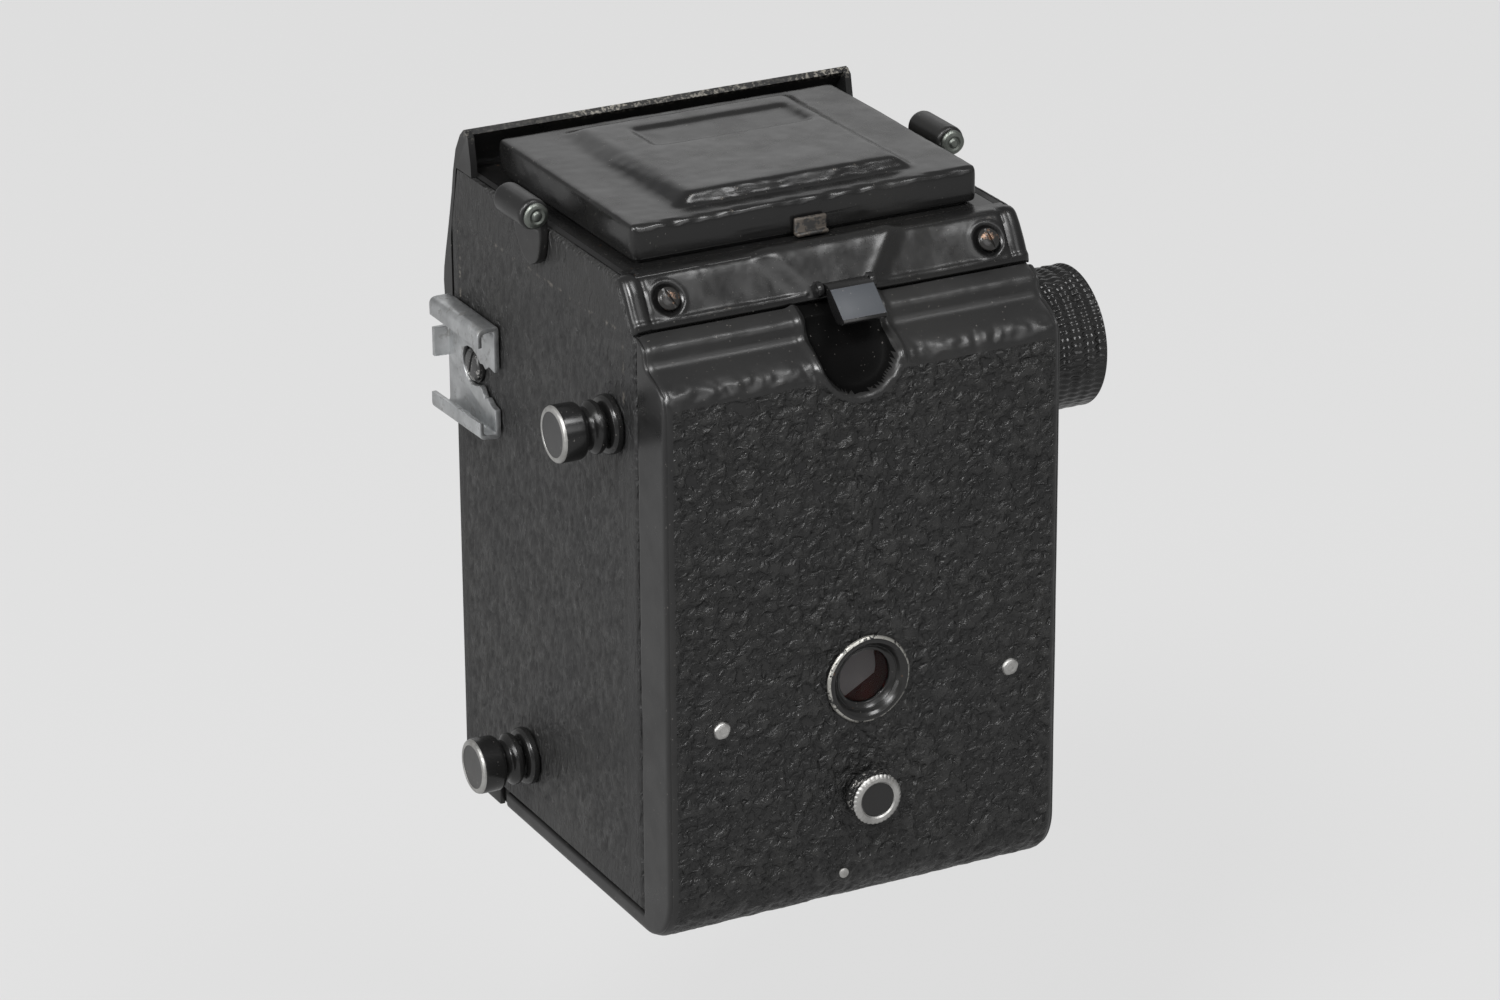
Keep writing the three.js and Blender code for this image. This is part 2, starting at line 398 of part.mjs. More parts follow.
for (const [side, x] of [['left', RIVET_X], ['right', -RIVET_X]]) {
  const spring = prismX([[37.35, 22], [37.9, 21.6], [38.4, 26], [39.1, 33], [39.65, 38], [39.65, 44.2], [39.1, 49.2], [38.4, 56.2], [37.9, 60.6], [37.35, 60.2], [37.9, 56], [38.6, 49], [39.1, 43.8], [39.1, 38.4], [38.6, 33.2], [37.9, 26.2]], x - 3.4, x + 3.4)
    .subtract(cylY(1.3, 36, 41, x, RIVET_Z, 14));
  add('pressure_spring_' + side, spring, STEEL, 0.3, 0.9);
  add('door_rivet_' + side, lathe('Y', [[0, 38.1], [1.9, 38.1], [1.9, 38.75], [1.0, 38.75], [1.0, 42.7], [1.75, 42.7], [1.4, 43.2], [0, 43.35]], x, RIVET_Z, 14), STEEL, 0.35, 0.9);
}
add('door_rivet_base', cylY(0.7, 39.6, 42.35, 4.5, 8.3, 12), STEEL, 0.35, 0.9);
add('window_bezel', lathe('Y', [[4.6, 40.3], [5.9, 40.3], [5.9, 42.7], [8.1, 42.7], [8.1, 43.2], [7.5, 43.7], [6.6, 43.5], [5.4, 42.4], [4.6, 42.0], [4.6, 40.3]], 0, WINDOW_Z, 24), 0x2a2a2a, 0.35, 0.6);
add('window_glass', cylY(4.3, 40.6, 41.4, 0, WINDOW_Z, 14), 0x5a0f08, 0.1, 0);
// red-window shutter: the outside knob turns a blade behind the glass
{
  const tilt = 9;
  let b = cylY(6.6, 38.5, 39.1, 0, WINDOW_Z - SHUTTER_KNOB.z, 14).add(box(-2.6, 2.6, 38.5, 39.1, 0, WINDOW_Z - SHUTTER_KNOB.z)).add(cylY(4.0, 38.5, 39.1, 0, 0, 14));
  b = b.subtract(cylY(1.9, 37, 41, 0, 0, 14)).rotate([0, tilt, 0]).translate([SHUTTER_KNOB.x, 0, SHUTTER_KNOB.z]);
  add('window_shutter_blade', b, 0x777777, 0.5, 0.8);
  add('window_shutter_knob', lathe('Y', [[0, 38.4], [1.6, 38.4], [1.6, 42.8], [4.3, 42.8], [4.75, 43.2], [4.75, 45.6], [4.3, 46.1], [3.4, 46.2], [3.2, 45.9], [0, 45.8]], SHUTTER_KNOB.x, SHUTTER_KNOB.z, 14), 0x303030, 0.35, 0.6);
}

// ---- door latch: folded tab on trunnions in the hood base's ears ----------
{
  const { x0, x1, y, z } = LATCH;
  let l = cylX(1.0, x0, x1, y, z, 14);
  l = l.add(prismX([[y - 0.3, z + 0.9], [34.6, 114.9], [35.0, 114.6], [39.8, 110.6], [39.9, 110.0], [39.3, 109.7], [34.9, 113.2], [34.3, 113.5], [y, z - 0.8]], x0, x1));
  for (const a of [x0, x1 - 0.9]) l = l.add(prismX([[33.6, 114.2], [34.6, 114.9], [39.8, 110.6], [39.3, 109.7], [36.4, 110.2], [34.2, 112.4]], a, a + 0.9));
  add('door_latch', l, PAINT, 0.3, 0.4);
}

// ---- winding knob, shaft and take-up spool --------------------------------
{
  const pts = [];
  const n = 24;
  for (let i = 0; i < n; i++) for (const [r, d] of [[12.4, -0.3], [13.0, -0.15], [13.0, 0.15], [12.4, 0.3]]) {
    const t = (i + d) * 2 * Math.PI / n;
    pts.push([r * Math.cos(t), r * Math.sin(t)]);
  }
  const g = extrude(pts, 10.6);
  g.applyMatrix4(new THREE.Matrix4().makeBasis(new THREE.Vector3(0, 1, 0), new THREE.Vector3(0, 0, 1), new THREE.Vector3(1, 0, 0)));
  g.translate(-52.2, TAKEUP.y, TAKEUP.z);
  let k = solid(g).add(lathe('X', [[0, -53.2], [11.2, -53.2], [12.2, -52.2], [12.2, -41.0], [11.0, -40.7], [0, -40.7]], TAKEUP.y, TAKEUP.z, 24));
  k = k.subtract(cylX(2.5, -51.3, -40, TAKEUP.y, TAKEUP.z, 14));
  add('winding_knob', k, PAINT, 0.35, 0.3);
  let s = cylX(2.2, -51.0, -29.5, TAKEUP.y, TAKEUP.z, 14);
  add('winding_shaft', s, STEEL, 0.3, 0.9);
  const R = SPOOL_FLANGE_R, L = SPOOL_HALF_L;
  add('take_up_spool', lathe('X', [[3.0, -L], [R, -L], [R, -L + 1.2], [6.2, -L + 1.8], [6.2, L - 1.8], [R, L - 1.2], [R, L], [3.0, L], [3.0, -L]], TAKEUP.y, TAKEUP.z, 24), 0x1c1c1c, 0.5, 0.1);
}
// ---- spring-loaded pull knobs that hold the spools -------------------------
const pull = (y, z) => lathe('X', [[0, 29.5], [1.7, 29.5], [2.2, 30.2], [2.2, 40.9], [3.7, 40.9], [3.7, 44.0], [4.5, 44.5], [5.06, 45.1], [5.06, 49.2], [4.8, 49.7], [4.1, 49.8], [3.9, 49.6], [0, 49.55]], y, z, 14);
add('pull_knob_upper', pull(TAKEUP.y, TAKEUP.z), 0x202020, 0.3, 0.4);
add('pull_knob_lower', pull(SUPPLY.y, SUPPLY.z), 0x202020, 0.3, 0.4);

// ---- folding hood: lid, catch, magnifier, side and rear walls --------------
{
  const w = LID_HALF_W, y0 = -32.6, y1 = LID_REAR, t = 1.0;
  const rc = 2.2;
  const rr = [[-w, y0], [w, y0], [w, y1 - rc], ...arc(w - rc, y1 - rc, rc, 0, 90, 4), ...arc(-w + rc, y1 - rc, rc, 90, 180, 4)];
  let lid = prismZ(rr, 120.1, LID_TOP);
  lid = lid.subtract(box(-w + t, w - t, -50, y1 - t, 119, LID_TOP - t));
  lid = lid.subtract(prismX([[-36, 119], [-36, 125.0], [-31.4, 121.5], [-28.8, 120.0], [-28, 119]], -40, 40));
  // raised rectangular boss with bevelled sides and a blank sunk band
  const b0 = new THREE.CylinderGeometry(1, 1.15, 1.4, 4);
  b0.rotateY(Math.PI / 4);
  b0.scale(20.5 * Math.SQRT1_2 * 2 / Math.SQRT2 * 1.0, 1, 21.0 * Math.SQRT1_2 * 2 / Math.SQRT2);
  b0.scale(Math.SQRT2, 1, Math.SQRT2);
  b0.rotateX(Math.PI / 2);
  b0.translate(-0.5, -6.5, LID_TOP + 0.6);
  lid = lid.add(solid(b0)).subtract(box(-19, 12, -21, -11, LID_TOP + 0.9, LID_TOP + 3));
  // hinge barrel along the front edge
  lid = lid.add(cylX(1.8, -29.3, 29.3, LID_HINGE.y, LID_HINGE.z, 14)).add(box(-29.3, 29.3, -31.4, -28.5, 123.2, 126));
  lid = lid.subtract(cylX(1.2, -30, 30, LID_HINGE.y, LID_HINGE.z, 14));
  // magnifier ears under the free edge
  for (const s of [1, -1]) lid = lid.add(box(s > 0 ? 8.4 : -9.6, s > 0 ? 9.6 : -8.4, 16.0, 18.0, 123.0, 126));
  add('hood_lid', lid, PAINT, 0.35, 0.3);
  add('lid_catch', box(-3.1, 3.1, 21.3, 22.2, 120.2, 123.4).add(box(-3.1, 3.1, 21.3, 23.1, 120.2, 121.0)), 0x8a8580, 0.5, 0.6);
}
{
  let m = cylZ(MAG_R, 123.3, 124.5, 0, 6.5, 24).add(box(-6, 6, 8, 17, 123.3, 124.5)).add(cylX(0.9, -8.1, 8.1, MAG_HINGE.y, MAG_HINGE.z, 14));
  m = m.subtract(cylZ(8.3, 122, 126, 0, 6.5, 24));
  add('magnifier_frame', m, PAINT, 0.4, 0.3);
  add('magnifier_glass', lathe('Y', [[0, -1.2], [5, -0.9], [8.0, -0.3], [8.0, 0.3], [5, 0.9], [0, 1.2]], 0, 0, 14).rotate([90, 0, 0]).translate([0, 6.5, 123.9]), GLASS, 0.05, 0);
}
for (const [side, s] of [['left', 1], ['right', -1]]) {
  const X = a => s * (SIDE_HINGE_X - a);
  let p = prismZ([[X(0), -27.4], [X(10), -25.3], [X(SIDE_H), -21.2], [X(SIDE_H), -0.6], [X(0.6), 16.6], [X(0), 16.6]], PANEL_Z - 0.4, PANEL_Z + 0.4);
  p = p.add(cylY(0.75, -26, 15.5, s * SIDE_HINGE_X, PANEL_Z, 12));
  add('hood_wall_' + side, p, PAINT, 0.35, 0.3);
}
{
  const Y = b => REAR_HINGE_Y - b;
  let p = prismZ([[-29.2, Y(0)], [-15.2, Y(REAR_H)], [15.2, Y(REAR_H)], [29.2, Y(0)]], PANEL_Z - 0.4, PANEL_Z + 0.4);
  p = p.add(cylX(0.75, -28, 28, REAR_HINGE_Y, PANEL_Z, 12));
  add('hood_wall_rear', p, PAINT, 0.35, 0.3);
}

export default part;
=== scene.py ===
import json
import math
import bpy
import bmesh
import numpy as np
from mathutils import Vector, Matrix, noise as mn

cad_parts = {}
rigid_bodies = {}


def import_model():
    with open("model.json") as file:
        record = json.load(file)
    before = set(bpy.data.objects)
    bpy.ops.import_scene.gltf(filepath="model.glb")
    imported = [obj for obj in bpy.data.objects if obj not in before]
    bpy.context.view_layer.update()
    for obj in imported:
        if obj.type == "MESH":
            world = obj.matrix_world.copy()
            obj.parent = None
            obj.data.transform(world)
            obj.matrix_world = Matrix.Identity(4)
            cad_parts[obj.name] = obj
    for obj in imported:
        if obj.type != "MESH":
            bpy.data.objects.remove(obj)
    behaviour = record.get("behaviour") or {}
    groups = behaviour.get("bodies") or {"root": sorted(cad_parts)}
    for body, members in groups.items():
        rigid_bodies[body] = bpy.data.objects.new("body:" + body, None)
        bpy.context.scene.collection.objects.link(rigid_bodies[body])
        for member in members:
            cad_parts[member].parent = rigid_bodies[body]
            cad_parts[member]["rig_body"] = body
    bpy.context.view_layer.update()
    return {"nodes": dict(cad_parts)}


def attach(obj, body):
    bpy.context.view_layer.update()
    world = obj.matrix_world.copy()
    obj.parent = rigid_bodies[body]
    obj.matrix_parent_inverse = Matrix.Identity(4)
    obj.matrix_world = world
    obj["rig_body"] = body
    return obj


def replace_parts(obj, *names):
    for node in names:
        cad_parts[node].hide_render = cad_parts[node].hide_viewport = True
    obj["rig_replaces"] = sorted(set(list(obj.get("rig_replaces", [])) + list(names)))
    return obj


for _o in list(bpy.data.objects):
    bpy.data.objects.remove(_o)
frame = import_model()
NODES = frame["nodes"]
SCN = bpy.context.scene

# ======================================================================
# mesh helpers: everything is built with 1 unit = 1 mm and scaled at the end
# ======================================================================
def raw(verts, faces, mats=None):
    me = bpy.data.meshes.new("m")
    me.from_pydata([tuple(map(float, v)) for v in verts], [], [tuple(int(i) for i in f) for f in faces])
    if mats is not None:
        me.polygons.foreach_set("material_index", np.asarray(mats, np.int32))
    me.validate()
    me.update()
    ob = bpy.data.objects.new("m", me)
    SCN.collection.objects.link(ob)
    fix_normals(ob)
    return ob


def fix_normals(ob):
    bm = bmesh.new()
    bm.from_mesh(ob.data)
    bmesh.ops.recalc_face_normals(bm, faces=bm.faces)
    bm.to_mesh(ob.data)
    bm.free()


def apply_mods(ob):
    dg = bpy.context.evaluated_depsgraph_get()
    me = bpy.data.meshes.new_from_object(ob.evaluated_get(dg))
    ob.modifiers.clear()
    old = ob.data
    ob.data = me
    bpy.data.meshes.remove(old)
    return ob


def join(obs):
    """Several temporary solids as one mesh."""
    if len(obs) == 1:
        return obs[0]
    bm = bmesh.new()
    for o in obs:
        bm.from_mesh(o.data)
    me = bpy.data.meshes.new("m")
    bm.to_mesh(me)
    bm.free()
    for o in obs:
        drop(o)
    ob = bpy.data.objects.new("m", me)
    SCN.collection.objects.link(ob)
    return ob


def drop(o):
    me = o.data
    bpy.data.objects.remove(o)
    if me and me.users == 0:
        bpy.data.meshes.remove(me)


def boolean(a, b, op):
    m = a.modifiers.new("b", "BOOLEAN")
    m.solver = "EXACT"
    m.operation = op
    m.use_self = True
    m.object = b
    apply_mods(a)
    drop(b)
    return a


def union(obs):
    a = obs[0]
    for o in obs[1:]:
        a = boolean(a, o, "UNION")
    return a


def cut(a, obs):
    for o in obs:
        a = boolean(a, o, "DIFFERENCE")
    return a


def bevel(ob, w, seg=3, angle=32, weight=True, clamp=True):
    m = ob.modifiers.new("v", "BEVEL")
    m.width = w
    m.segments = seg
    m.limit_method = "ANGLE"
    m.angle_limit = math.radians(angle)
    m.use_clamp_overlap = clamp
    m.harden_normals = False
    apply_mods(ob)
    return ob


def weld(ob, d=1e-3):
    bm = bmesh.new()
    bm.from_mesh(ob.data)
    bmesh.ops.remove_doubles(bm, verts=bm.verts, dist=d)
    bmesh.ops.dissolve_limit(bm, angle_limit=math.radians(0.5), verts=bm.verts, edges=bm.edges)
    bm.to_mesh(ob.data)
    bm.free()
    return ob


def soften(ob, voxel, it=4, ratio=1.0, factor=0.5):
    """Voxel remesh and smoothing: joins overlapping solids and rounds every edge, as a pressed or moulded piece is."""
    m = ob.modifiers.new("r", "REMESH")
    m.mode = "VOXEL"
    m.voxel_size = voxel
    m.adaptivity = 0.0
    if it:
        s = ob.modifiers.new("s", "SMOOTH")
        s.factor = factor
        s.iterations = it
    if ratio < 1:
        d = ob.modifiers.new("d", "DECIMATE")
        d.ratio = ratio
    apply_mods(ob)
    return ob


def box(x0, x1, y0, y1, z0, z1):
    v = [(x, y, z) for x in (x0, x1) for y in (y0, y1) for z in (z0, z1)]
    f = [(0, 1, 3, 2), (4, 6, 7, 5), (0, 4, 5, 1), (2, 3, 7, 6), (0, 2, 6, 4), (1, 5, 7, 3)]
    return raw(v, f)


def prism(axis, pts, a, b):
    """Outline swept along an axis. Outline coordinates: X -> (y, z), Y -> (x, z), Z -> (x, y)."""
    def p3(p, t):
        return {"X": (t, p[0], p[1]), "Y": (p[0], t, p[1]), "Z": (p[0], p[1], t)}[axis]
    n = len(pts)
    v = [p3(p, a) for p in pts] + [p3(p, b) for p in pts]
    f = [tuple(range(n))[::-1], tuple(range(n, 2 * n))] + [(i, (i + 1) % n, n + (i + 1) % n, n + i) for i in range(n)]
    return raw(v, f)


def ring3(axis, r, t, a, b, n, mod=None):
    out = []
    for i in range(n):
        th = 2 * math.pi * i / n
        rr = r if mod is None else r + mod(th)
        c, s = rr * math.cos(th), rr * math.sin(th)
        out.append({"X": (t, a + c, b + s), "Y": (a + c, t, b + s), "Z": (a + c, b + s, t)}[axis])
    return out


def loft(loops, mats=None, closed=False):
    """Closed body from a list of equal-length loops; caps at the ends, or joined end to start."""
    k = len(loops[0])
    v = [p for l in loops for p in l]
    f, mi = [], []
    pairs = len(loops) if closed else len(loops) - 1
    for j in range(pairs):
        a, b = j * k, ((j + 1) % len(loops)) * k
        for i in range(k):
            f.append((a + i, a + (i + 1) % k, b + (i + 1) % k, b + i))
            mi.append(0 if mats is None else mats[j])
    if not closed:
        f.append(tuple(range(k))[::-1])
        mi.append(0 if mats is None else mats[0])
        f.append(tuple(range((len(loops) - 1) * k, len(loops) * k)))
        mi.append(0 if mats is None else mats[-1])
    return raw(v, f, mi)


def fillet(prof, r=0.15, n=3, closed=False):
    """Rounds the corners of a [radius, position] profile."""
    out, src = [], [np.array(p[:2], float) for p in prof]
    m = len(src)
    tags = [p[2] if len(p) > 2 else 0 for p in prof]
    res = []
    for i, p in enumerate(src):
        if not closed and (i == 0 or i == m - 1):
            res.append((p, tags[i]))
            continue
        a, b = src[i - 1], src[(i + 1) % m]
        u, w = a - p, b - p
        lu, lw = np.linalg.norm(u), np.linalg.norm(w)
        if lu < 1e-6 or lw < 1e-6:
            res.append((p, tags[i]))
            continue
        u, w = u / lu, w / lw
        if abs(np.dot(u, w)) > 0.995:
            res.append((p, tags[i]))
            continue
        d = min(r, lu * 0.45, lw * 0.45)
        p0, p1 = p + u * d, p + w * d
        for k in range(n + 1):
            t = k / n
            q = (1 - t) ** 2 * p0 + 2 * t * (1 - t) * p + t * t * p1
            res.append((q, tags[i - 1] if k < n else tags[i]))
    return [(float(q[0]), float(q[1]), t) for q, t in res]


def lathe(axis, prof, a=0.0, b=0.0, seg=72, r=0.15, closed=False, mod=None):
    """Turned body. prof: [radius, position, (material from here on)]; starts and ends on the axis unless closed."""
    pr = fillet(prof, r, closed=closed)
    if not closed:
        pr = [p for p in pr]
    pts, tags = [], []
    for p in pr:
        pts.append((max(p[0], 0.0), p[1]))
        tags.append(p[2])
    v, rows = [], []
    for (rad, t) in pts:
        if rad < 1e-5 and not closed:
            rows.append([len(v)])
            v.append({"X": (t, a, b), "Y": (a, t, b), "Z": (a, b, t)}[axis])
        else:
            rows.append(list(range(len(v), len(v) + seg)))
            v += ring3(axis, rad, t, a, b, seg, (lambda th, t=t, rad=rad: mod(th, t, rad)) if mod else None)
    f, mi = [], []
    n = len(rows)
    for j in range(n if closed else n - 1):
        A, B = rows[j], rows[(j + 1) % n]
        tag = tags[j]
        for i in range(seg):
            i2 = (i + 1) % seg
            if len(A) == 1 and len(B) == 1:
                continue
            if len(A) == 1:
                f.append((A[0], B[i2], B[i]))
            elif len(B) == 1:
                f.append((A[i], A[i2], B[0]))
            else:
                f.append((A[i], A[i2], B[i2], B[i]))
            mi.append(tag)
    return raw(v, f, mi)


def cyl(axis, r, t0, t1, a, b, seg=48, c=0.12):
    return lathe(axis, [[0, t0], [r, t0], [r, t1], [0, t1]], a, b, seg, c)


def transform(ob, M):
    ob.data.transform(M)
    ob.data.update()
    return ob


def move(ob, x, y, z):
    return transform(ob, Matrix.Translation((x, y, z)))


def rot(ob, axis, deg, about=(0, 0, 0)):
    T = Matrix.Translation(about)
    return transform(ob, T @ Matrix.Rotation(math.radians(deg), 4, axis) @ T.inverted())


def cad_copy(node):
    """A CAD node's mesh in millimetres, with flat areas joined."""
    me = NODES[node].data.copy()
    ob = bpy.data.objects.new("m", me)
    SCN.collection.objects.link(ob)
    me.transform(Matrix.Scale(1000.0, 4))
    me.materials.clear()
    weld(ob, 2e-3)
    return ob


def fbm(x, y, z, f, octaves=3):
    s, a, t = 0.0, 1.0, 0.0
    for _ in range(octaves):
        s += a * mn.noise((x * f, y * f, z * f))
        t += a
        a *= 0.5
        f *= 2.03
    return s / t


def grid_noise(P, f, seed, warp=0.0, octaves=2):
    """Noise at an array of points (n, 3) in mm."""
    out = np.empty(len(P))
    for i, (x, y, z) in enumerate(P):
        if warp:
            w = mn.noise((x * f * 0.6 + seed * 3.1, y * f * 0.6, z * f * 0.6))
            w2 = mn.noise((x * f * 0.6, y * f * 0.6 + seed * 5.7, z * f * 0.6 + 9.1))
            x, z = x + warp * w, z + warp * w2
        out[i] = fbm(x + seed * 17.0, y + seed * 7.0, z - seed * 11.0, f, octaves)
    return out


def ridged(P, f, seed, warp=0.0):
    return 1.0 - 2.2 * np.abs(grid_noise(P, f, seed, warp, 2))


def sstep(x, a, b):
    t = np.clip((np.asarray(x, float) - a) / (b - a), 0, 1)
    return t * t * (3 - 2 * t)


def paint(ob, name, values):
    """Stores one number per vertex, for the material to read; vertices past the end get 0."""
    a = ob.data.attributes.new(name, "FLOAT", "POINT")
    v = np.zeros(len(ob.data.vertices), np.float32)
    values = np.asarray(values, np.float32).ravel()
    v[: len(values)] = values
    a.data.foreach_set("value", v)


PIECES = []


def done(ob, name, body, mats, replaces=(), angle=38):
    """Names a finished piece, scales it to metres, gives it its materials and hangs it on its body."""
    ob.name = name
    ob.data.name = name
    ob.data.transform(Matrix.Scale(0.001, 4))
    mi = np.zeros(len(ob.data.polygons), np.int32)
    ob.data.polygons.foreach_get("material_index", mi)
    ob.data.materials.clear()
    for m in (mats if isinstance(mats, (list, tuple)) else [mats]):
        ob.data.materials.append(m)
    ob.data.polygons.foreach_set("material_index", mi)
    ob.data.shade_smooth()
    ob.data.set_sharp_from_angle(angle=math.radians(angle))
    ob.data.update()
    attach(ob, body)
    if replaces:
        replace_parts(ob, *replaces)
    PIECES.append(ob)
    return ob


# ======================================================================
# materials
# ======================================================================
class Tree:
    def __init__(self, name):
        self.m = bpy.data.materials.new(name)
        self.m.use_nodes = True
        self.t = self.m.node_tree
        self.t.nodes.clear()
        self.out = self.t.nodes.new("ShaderNodeOutputMaterial")
        self.p = self.t.nodes.new("ShaderNodeBsdfPrincipled")
        self.link(self.p.outputs[0], self.out.inputs[0])
        self.co = self.t.nodes.new("ShaderNodeTexCoord").outputs["Object"]

    def link(self, a, b):
        self.t.links.new(a, b)

    def set(self, **kw):
        names = {"base": "Base Color", "rough": "Roughness", "metal": "Metallic", "spec": "Specular IOR Level", "coat": "Coat Weight",
                 "coat_rough": "Coat Roughness", "ior": "IOR", "trans": "Transmission Weight", "sheen": "Sheen Weight", "normal": "Normal", "alpha": "Alpha"}
        for k, v in kw.items():
            s = self.p.inputs[names[k]]
            if isinstance(v, bpy.types.NodeSocket):
                self.link(v, s)
            else:
                s.default_value = v

    def noise(self, scale, detail=3.0, rough=0.5, dist=0.0, co=None, stretch=None):
        n = self.t.nodes.new("ShaderNodeTexNoise")
        n.inputs["Scale"].default_value = scale
        n.inputs["Detail"].default_value = detail
        n.inputs["Roughness"].default_value = rough
        n.inputs["Distortion"].default_value = dist
        src = co or self.co
        if stretch:
            mp = self.t.nodes.new("ShaderNodeMapping")
            mp.inputs["Scale"].default_value = stretch
            self.link(src, mp.inputs[0])
            src = mp.outputs[0]
        self.link(src, n.inputs["Vector"])
        return n.outputs[0]

    def vor(self, scale, feature="F1", co=None, rand=1.0, smooth=None):
        n = self.t.nodes.new("ShaderNodeTexVoronoi")
        n.feature = feature
        n.inputs["Scale"].default_value = scale
        n.inputs["Randomness"].default_value = rand
        self.link(co or self.co, n.inputs["Vector"])
        return n.outputs["Distance"]

    def ramp(self, src, stops):
        n = self.t.nodes.new("ShaderNodeValToRGB")
        e = n.color_ramp.elements
        while len(e) < len(stops):
            e.new(0.5)
        for k, (p, c) in enumerate(stops):
            e[k].position = p
            e[k].color = (c, c, c, 1) if not hasattr(c, "__len__") else tuple(c) + (1,) * (4 - len(c))
        self.link(src, n.inputs[0])
        return n.outputs[0]

    def math(self, op, a, b=None, c=None, clamp=False):
        n = self.t.nodes.new("ShaderNodeMath")
        n.operation = op
        n.use_clamp = clamp
        for i, v in enumerate((a, b, c)):
            if v is None:
                continue
            if isinstance(v, bpy.types.NodeSocket):
                self.link(v, n.inputs[i])
            else:
                n.inputs[i].default_value = v
        return n.outputs[0]

    def range(self, src, a, b, c, d):
        n = self.t.nodes.new("ShaderNodeMapRange")
        for i, v in enumerate((src, a, b, c, d)):
            if isinstance(v, bpy.types.NodeSocket):
                self.link(v, n.inputs[i])
            else:
                n.inputs[i].default_value = v
        return n.outputs[0]

    def mix(self, fac, a, b):
        n = self.t.nodes.new("ShaderNodeMix")
        n.data_type = "RGBA"
        for i, v in ((0, fac), (6, a), (7, b)):
            if isinstance(v, bpy.types.NodeSocket):
                self.link(v, n.inputs[i])
            elif i == 0:
                n.inputs[0].default_value = v
            else:
                n.inputs[i].default_value = tuple(v) + (1,) * (4 - len(v))
        return n.outputs[2]

    def bump(self, h, dist, strength=1.0, normal=None):
        n = self.t.nodes.new("ShaderNodeBump")
        n.inputs["Strength"].default_value = strength
        n.inputs["Distance"].default_value = dist
        self.link(h, n.inputs["Height"])
        if normal is not None:
            self.link(normal, n.inputs["Normal"])
        return n.outputs[0]

    def point(self):
        n = self.t.nodes.new("ShaderNodeNewGeometry")
        return n.outputs["Pointiness"]

    def attr(self, name):
        n = self.t.nodes.new("ShaderNodeAttribute")
        n.attribute_name = name
        return n.outputs["Fac"]


def grey(v):
    return (v, v, v * 1.0)


def leatherette(name, base=0.012, rough=0.46, scale=1.0, streak=(1, 1, 1), fine=0.00006, ridge=3.0, spec=0.4):
    """Moulded leather grain: the "grain" attribute is the height of the relief, 0 in the valleys and 1 on the ridges.
    The colour follows it: darker in the valleys as painted shade, and lighter on the ridges by the factor ridge, partly
    as rubbed wear and partly as a painted highlight.
    """
    t = Tree(name)
    g = t.attr("grain")
    n1 = t.noise(620 * scale, 3, 0.5, 0.9, stretch=streak)
    n2 = t.noise(2600, 3, 0.6, stretch=streak)
    h = t.math("ADD", t.math("MULTIPLY", n1, 0.9), t.math("MULTIPLY", n2, 0.1))
    dust = t.ramp(t.noise(1500, 2, 0.7), [(0.71, 0.0), (0.76, 1.0)])
    tone = t.range(t.noise(45, 3, 0.5), 0.3, 0.7, 0.0, 1.0)
    b = t.mix(tone, (base * 0.8, base * 0.8, base * 0.82), (base * 1.25, base * 1.23, base * 1.18))
    # painted shade: the valleys of the grain are darkened towards black
    b = t.mix(t.range(g, 0.15, 0.5, 0.9, 0.0), b, (base * 0.15, base * 0.15, base * 0.16))
    # the ridges of the grain are lightened, partly as rubbed wear and partly as a painted highlight
    b = t.mix(t.range(g, 0.55, 0.95, 0.0, 0.8), b, (base * ridge, base * ridge * 0.99, base * ridge * 0.96))
    b = t.mix(t.math("MULTIPLY", dust, 0.3), b, (0.16, 0.15, 0.14))
    worn = t.math("MULTIPLY", t.attr("edge"), t.ramp(t.noise(520, 3, 0.7), [(0.54, 0.0), (0.62, 1.0)]))
    b = t.mix(t.math("MULTIPLY", worn, 0.8), b, (0.17, 0.155, 0.135))
    r = t.math("ADD", t.range(t.noise(300, 3), 0.3, 0.7, rough - 0.06, rough + 0.08), t.range(g, 0.2, 0.8, 0.14, -0.06))
    t.set(base=b, rough=r, spec=spec, normal=t.bump(h, fine, 1.0))
    return t.m


def moulded(name, base=0.014, rough=0.36, bump=0.00002, specks=0.25, tint=(1, 1, 1), spec=0.5):
    """Smooth black moulding or enamel: faint orange peel, dust specks, slight polish differences."""
    t = Tree(name)
    n1 = t.noise(160, 4, 0.55)
    n2 = t.noise(1400, 3, 0.6)
    tone = t.noise(30, 3, 0.5)
    lo = [base * 0.7 * k * c for k, c in zip((1, 1, 1.04), tint)]
    hi = [base * 1.35 * k * c for k, c in zip((1, 0.985, 0.96), tint)]
    b = t.mix(t.range(tone, 0.3, 0.7, 0, 1), lo, hi)
    speck = t.ramp(t.noise(1900, 1, 0.5), [(0.735, 0.0), (0.765, 1.0)])
    b = t.mix(t.math("MULTIPLY", speck, specks), b, (0.3, 0.28, 0.26))
    scratch = t.ramp(t.noise(240, 4, 0.65, 1.4, stretch=(1, 7, 1)), [(0.47, 0.0), (0.5, 1.0), (0.53, 0.0)])
    r = t.math("ADD", t.range(n1, 0.3, 0.7, rough - 0.08, rough + 0.08), t.math("MULTIPLY", scratch, 0.06))
    t.set(base=b, rough=r, spec=spec, normal=t.bump(t.math("ADD", n1, t.math("MULTIPLY", n2, 0.25)), bump, 0.8))
    return t.m


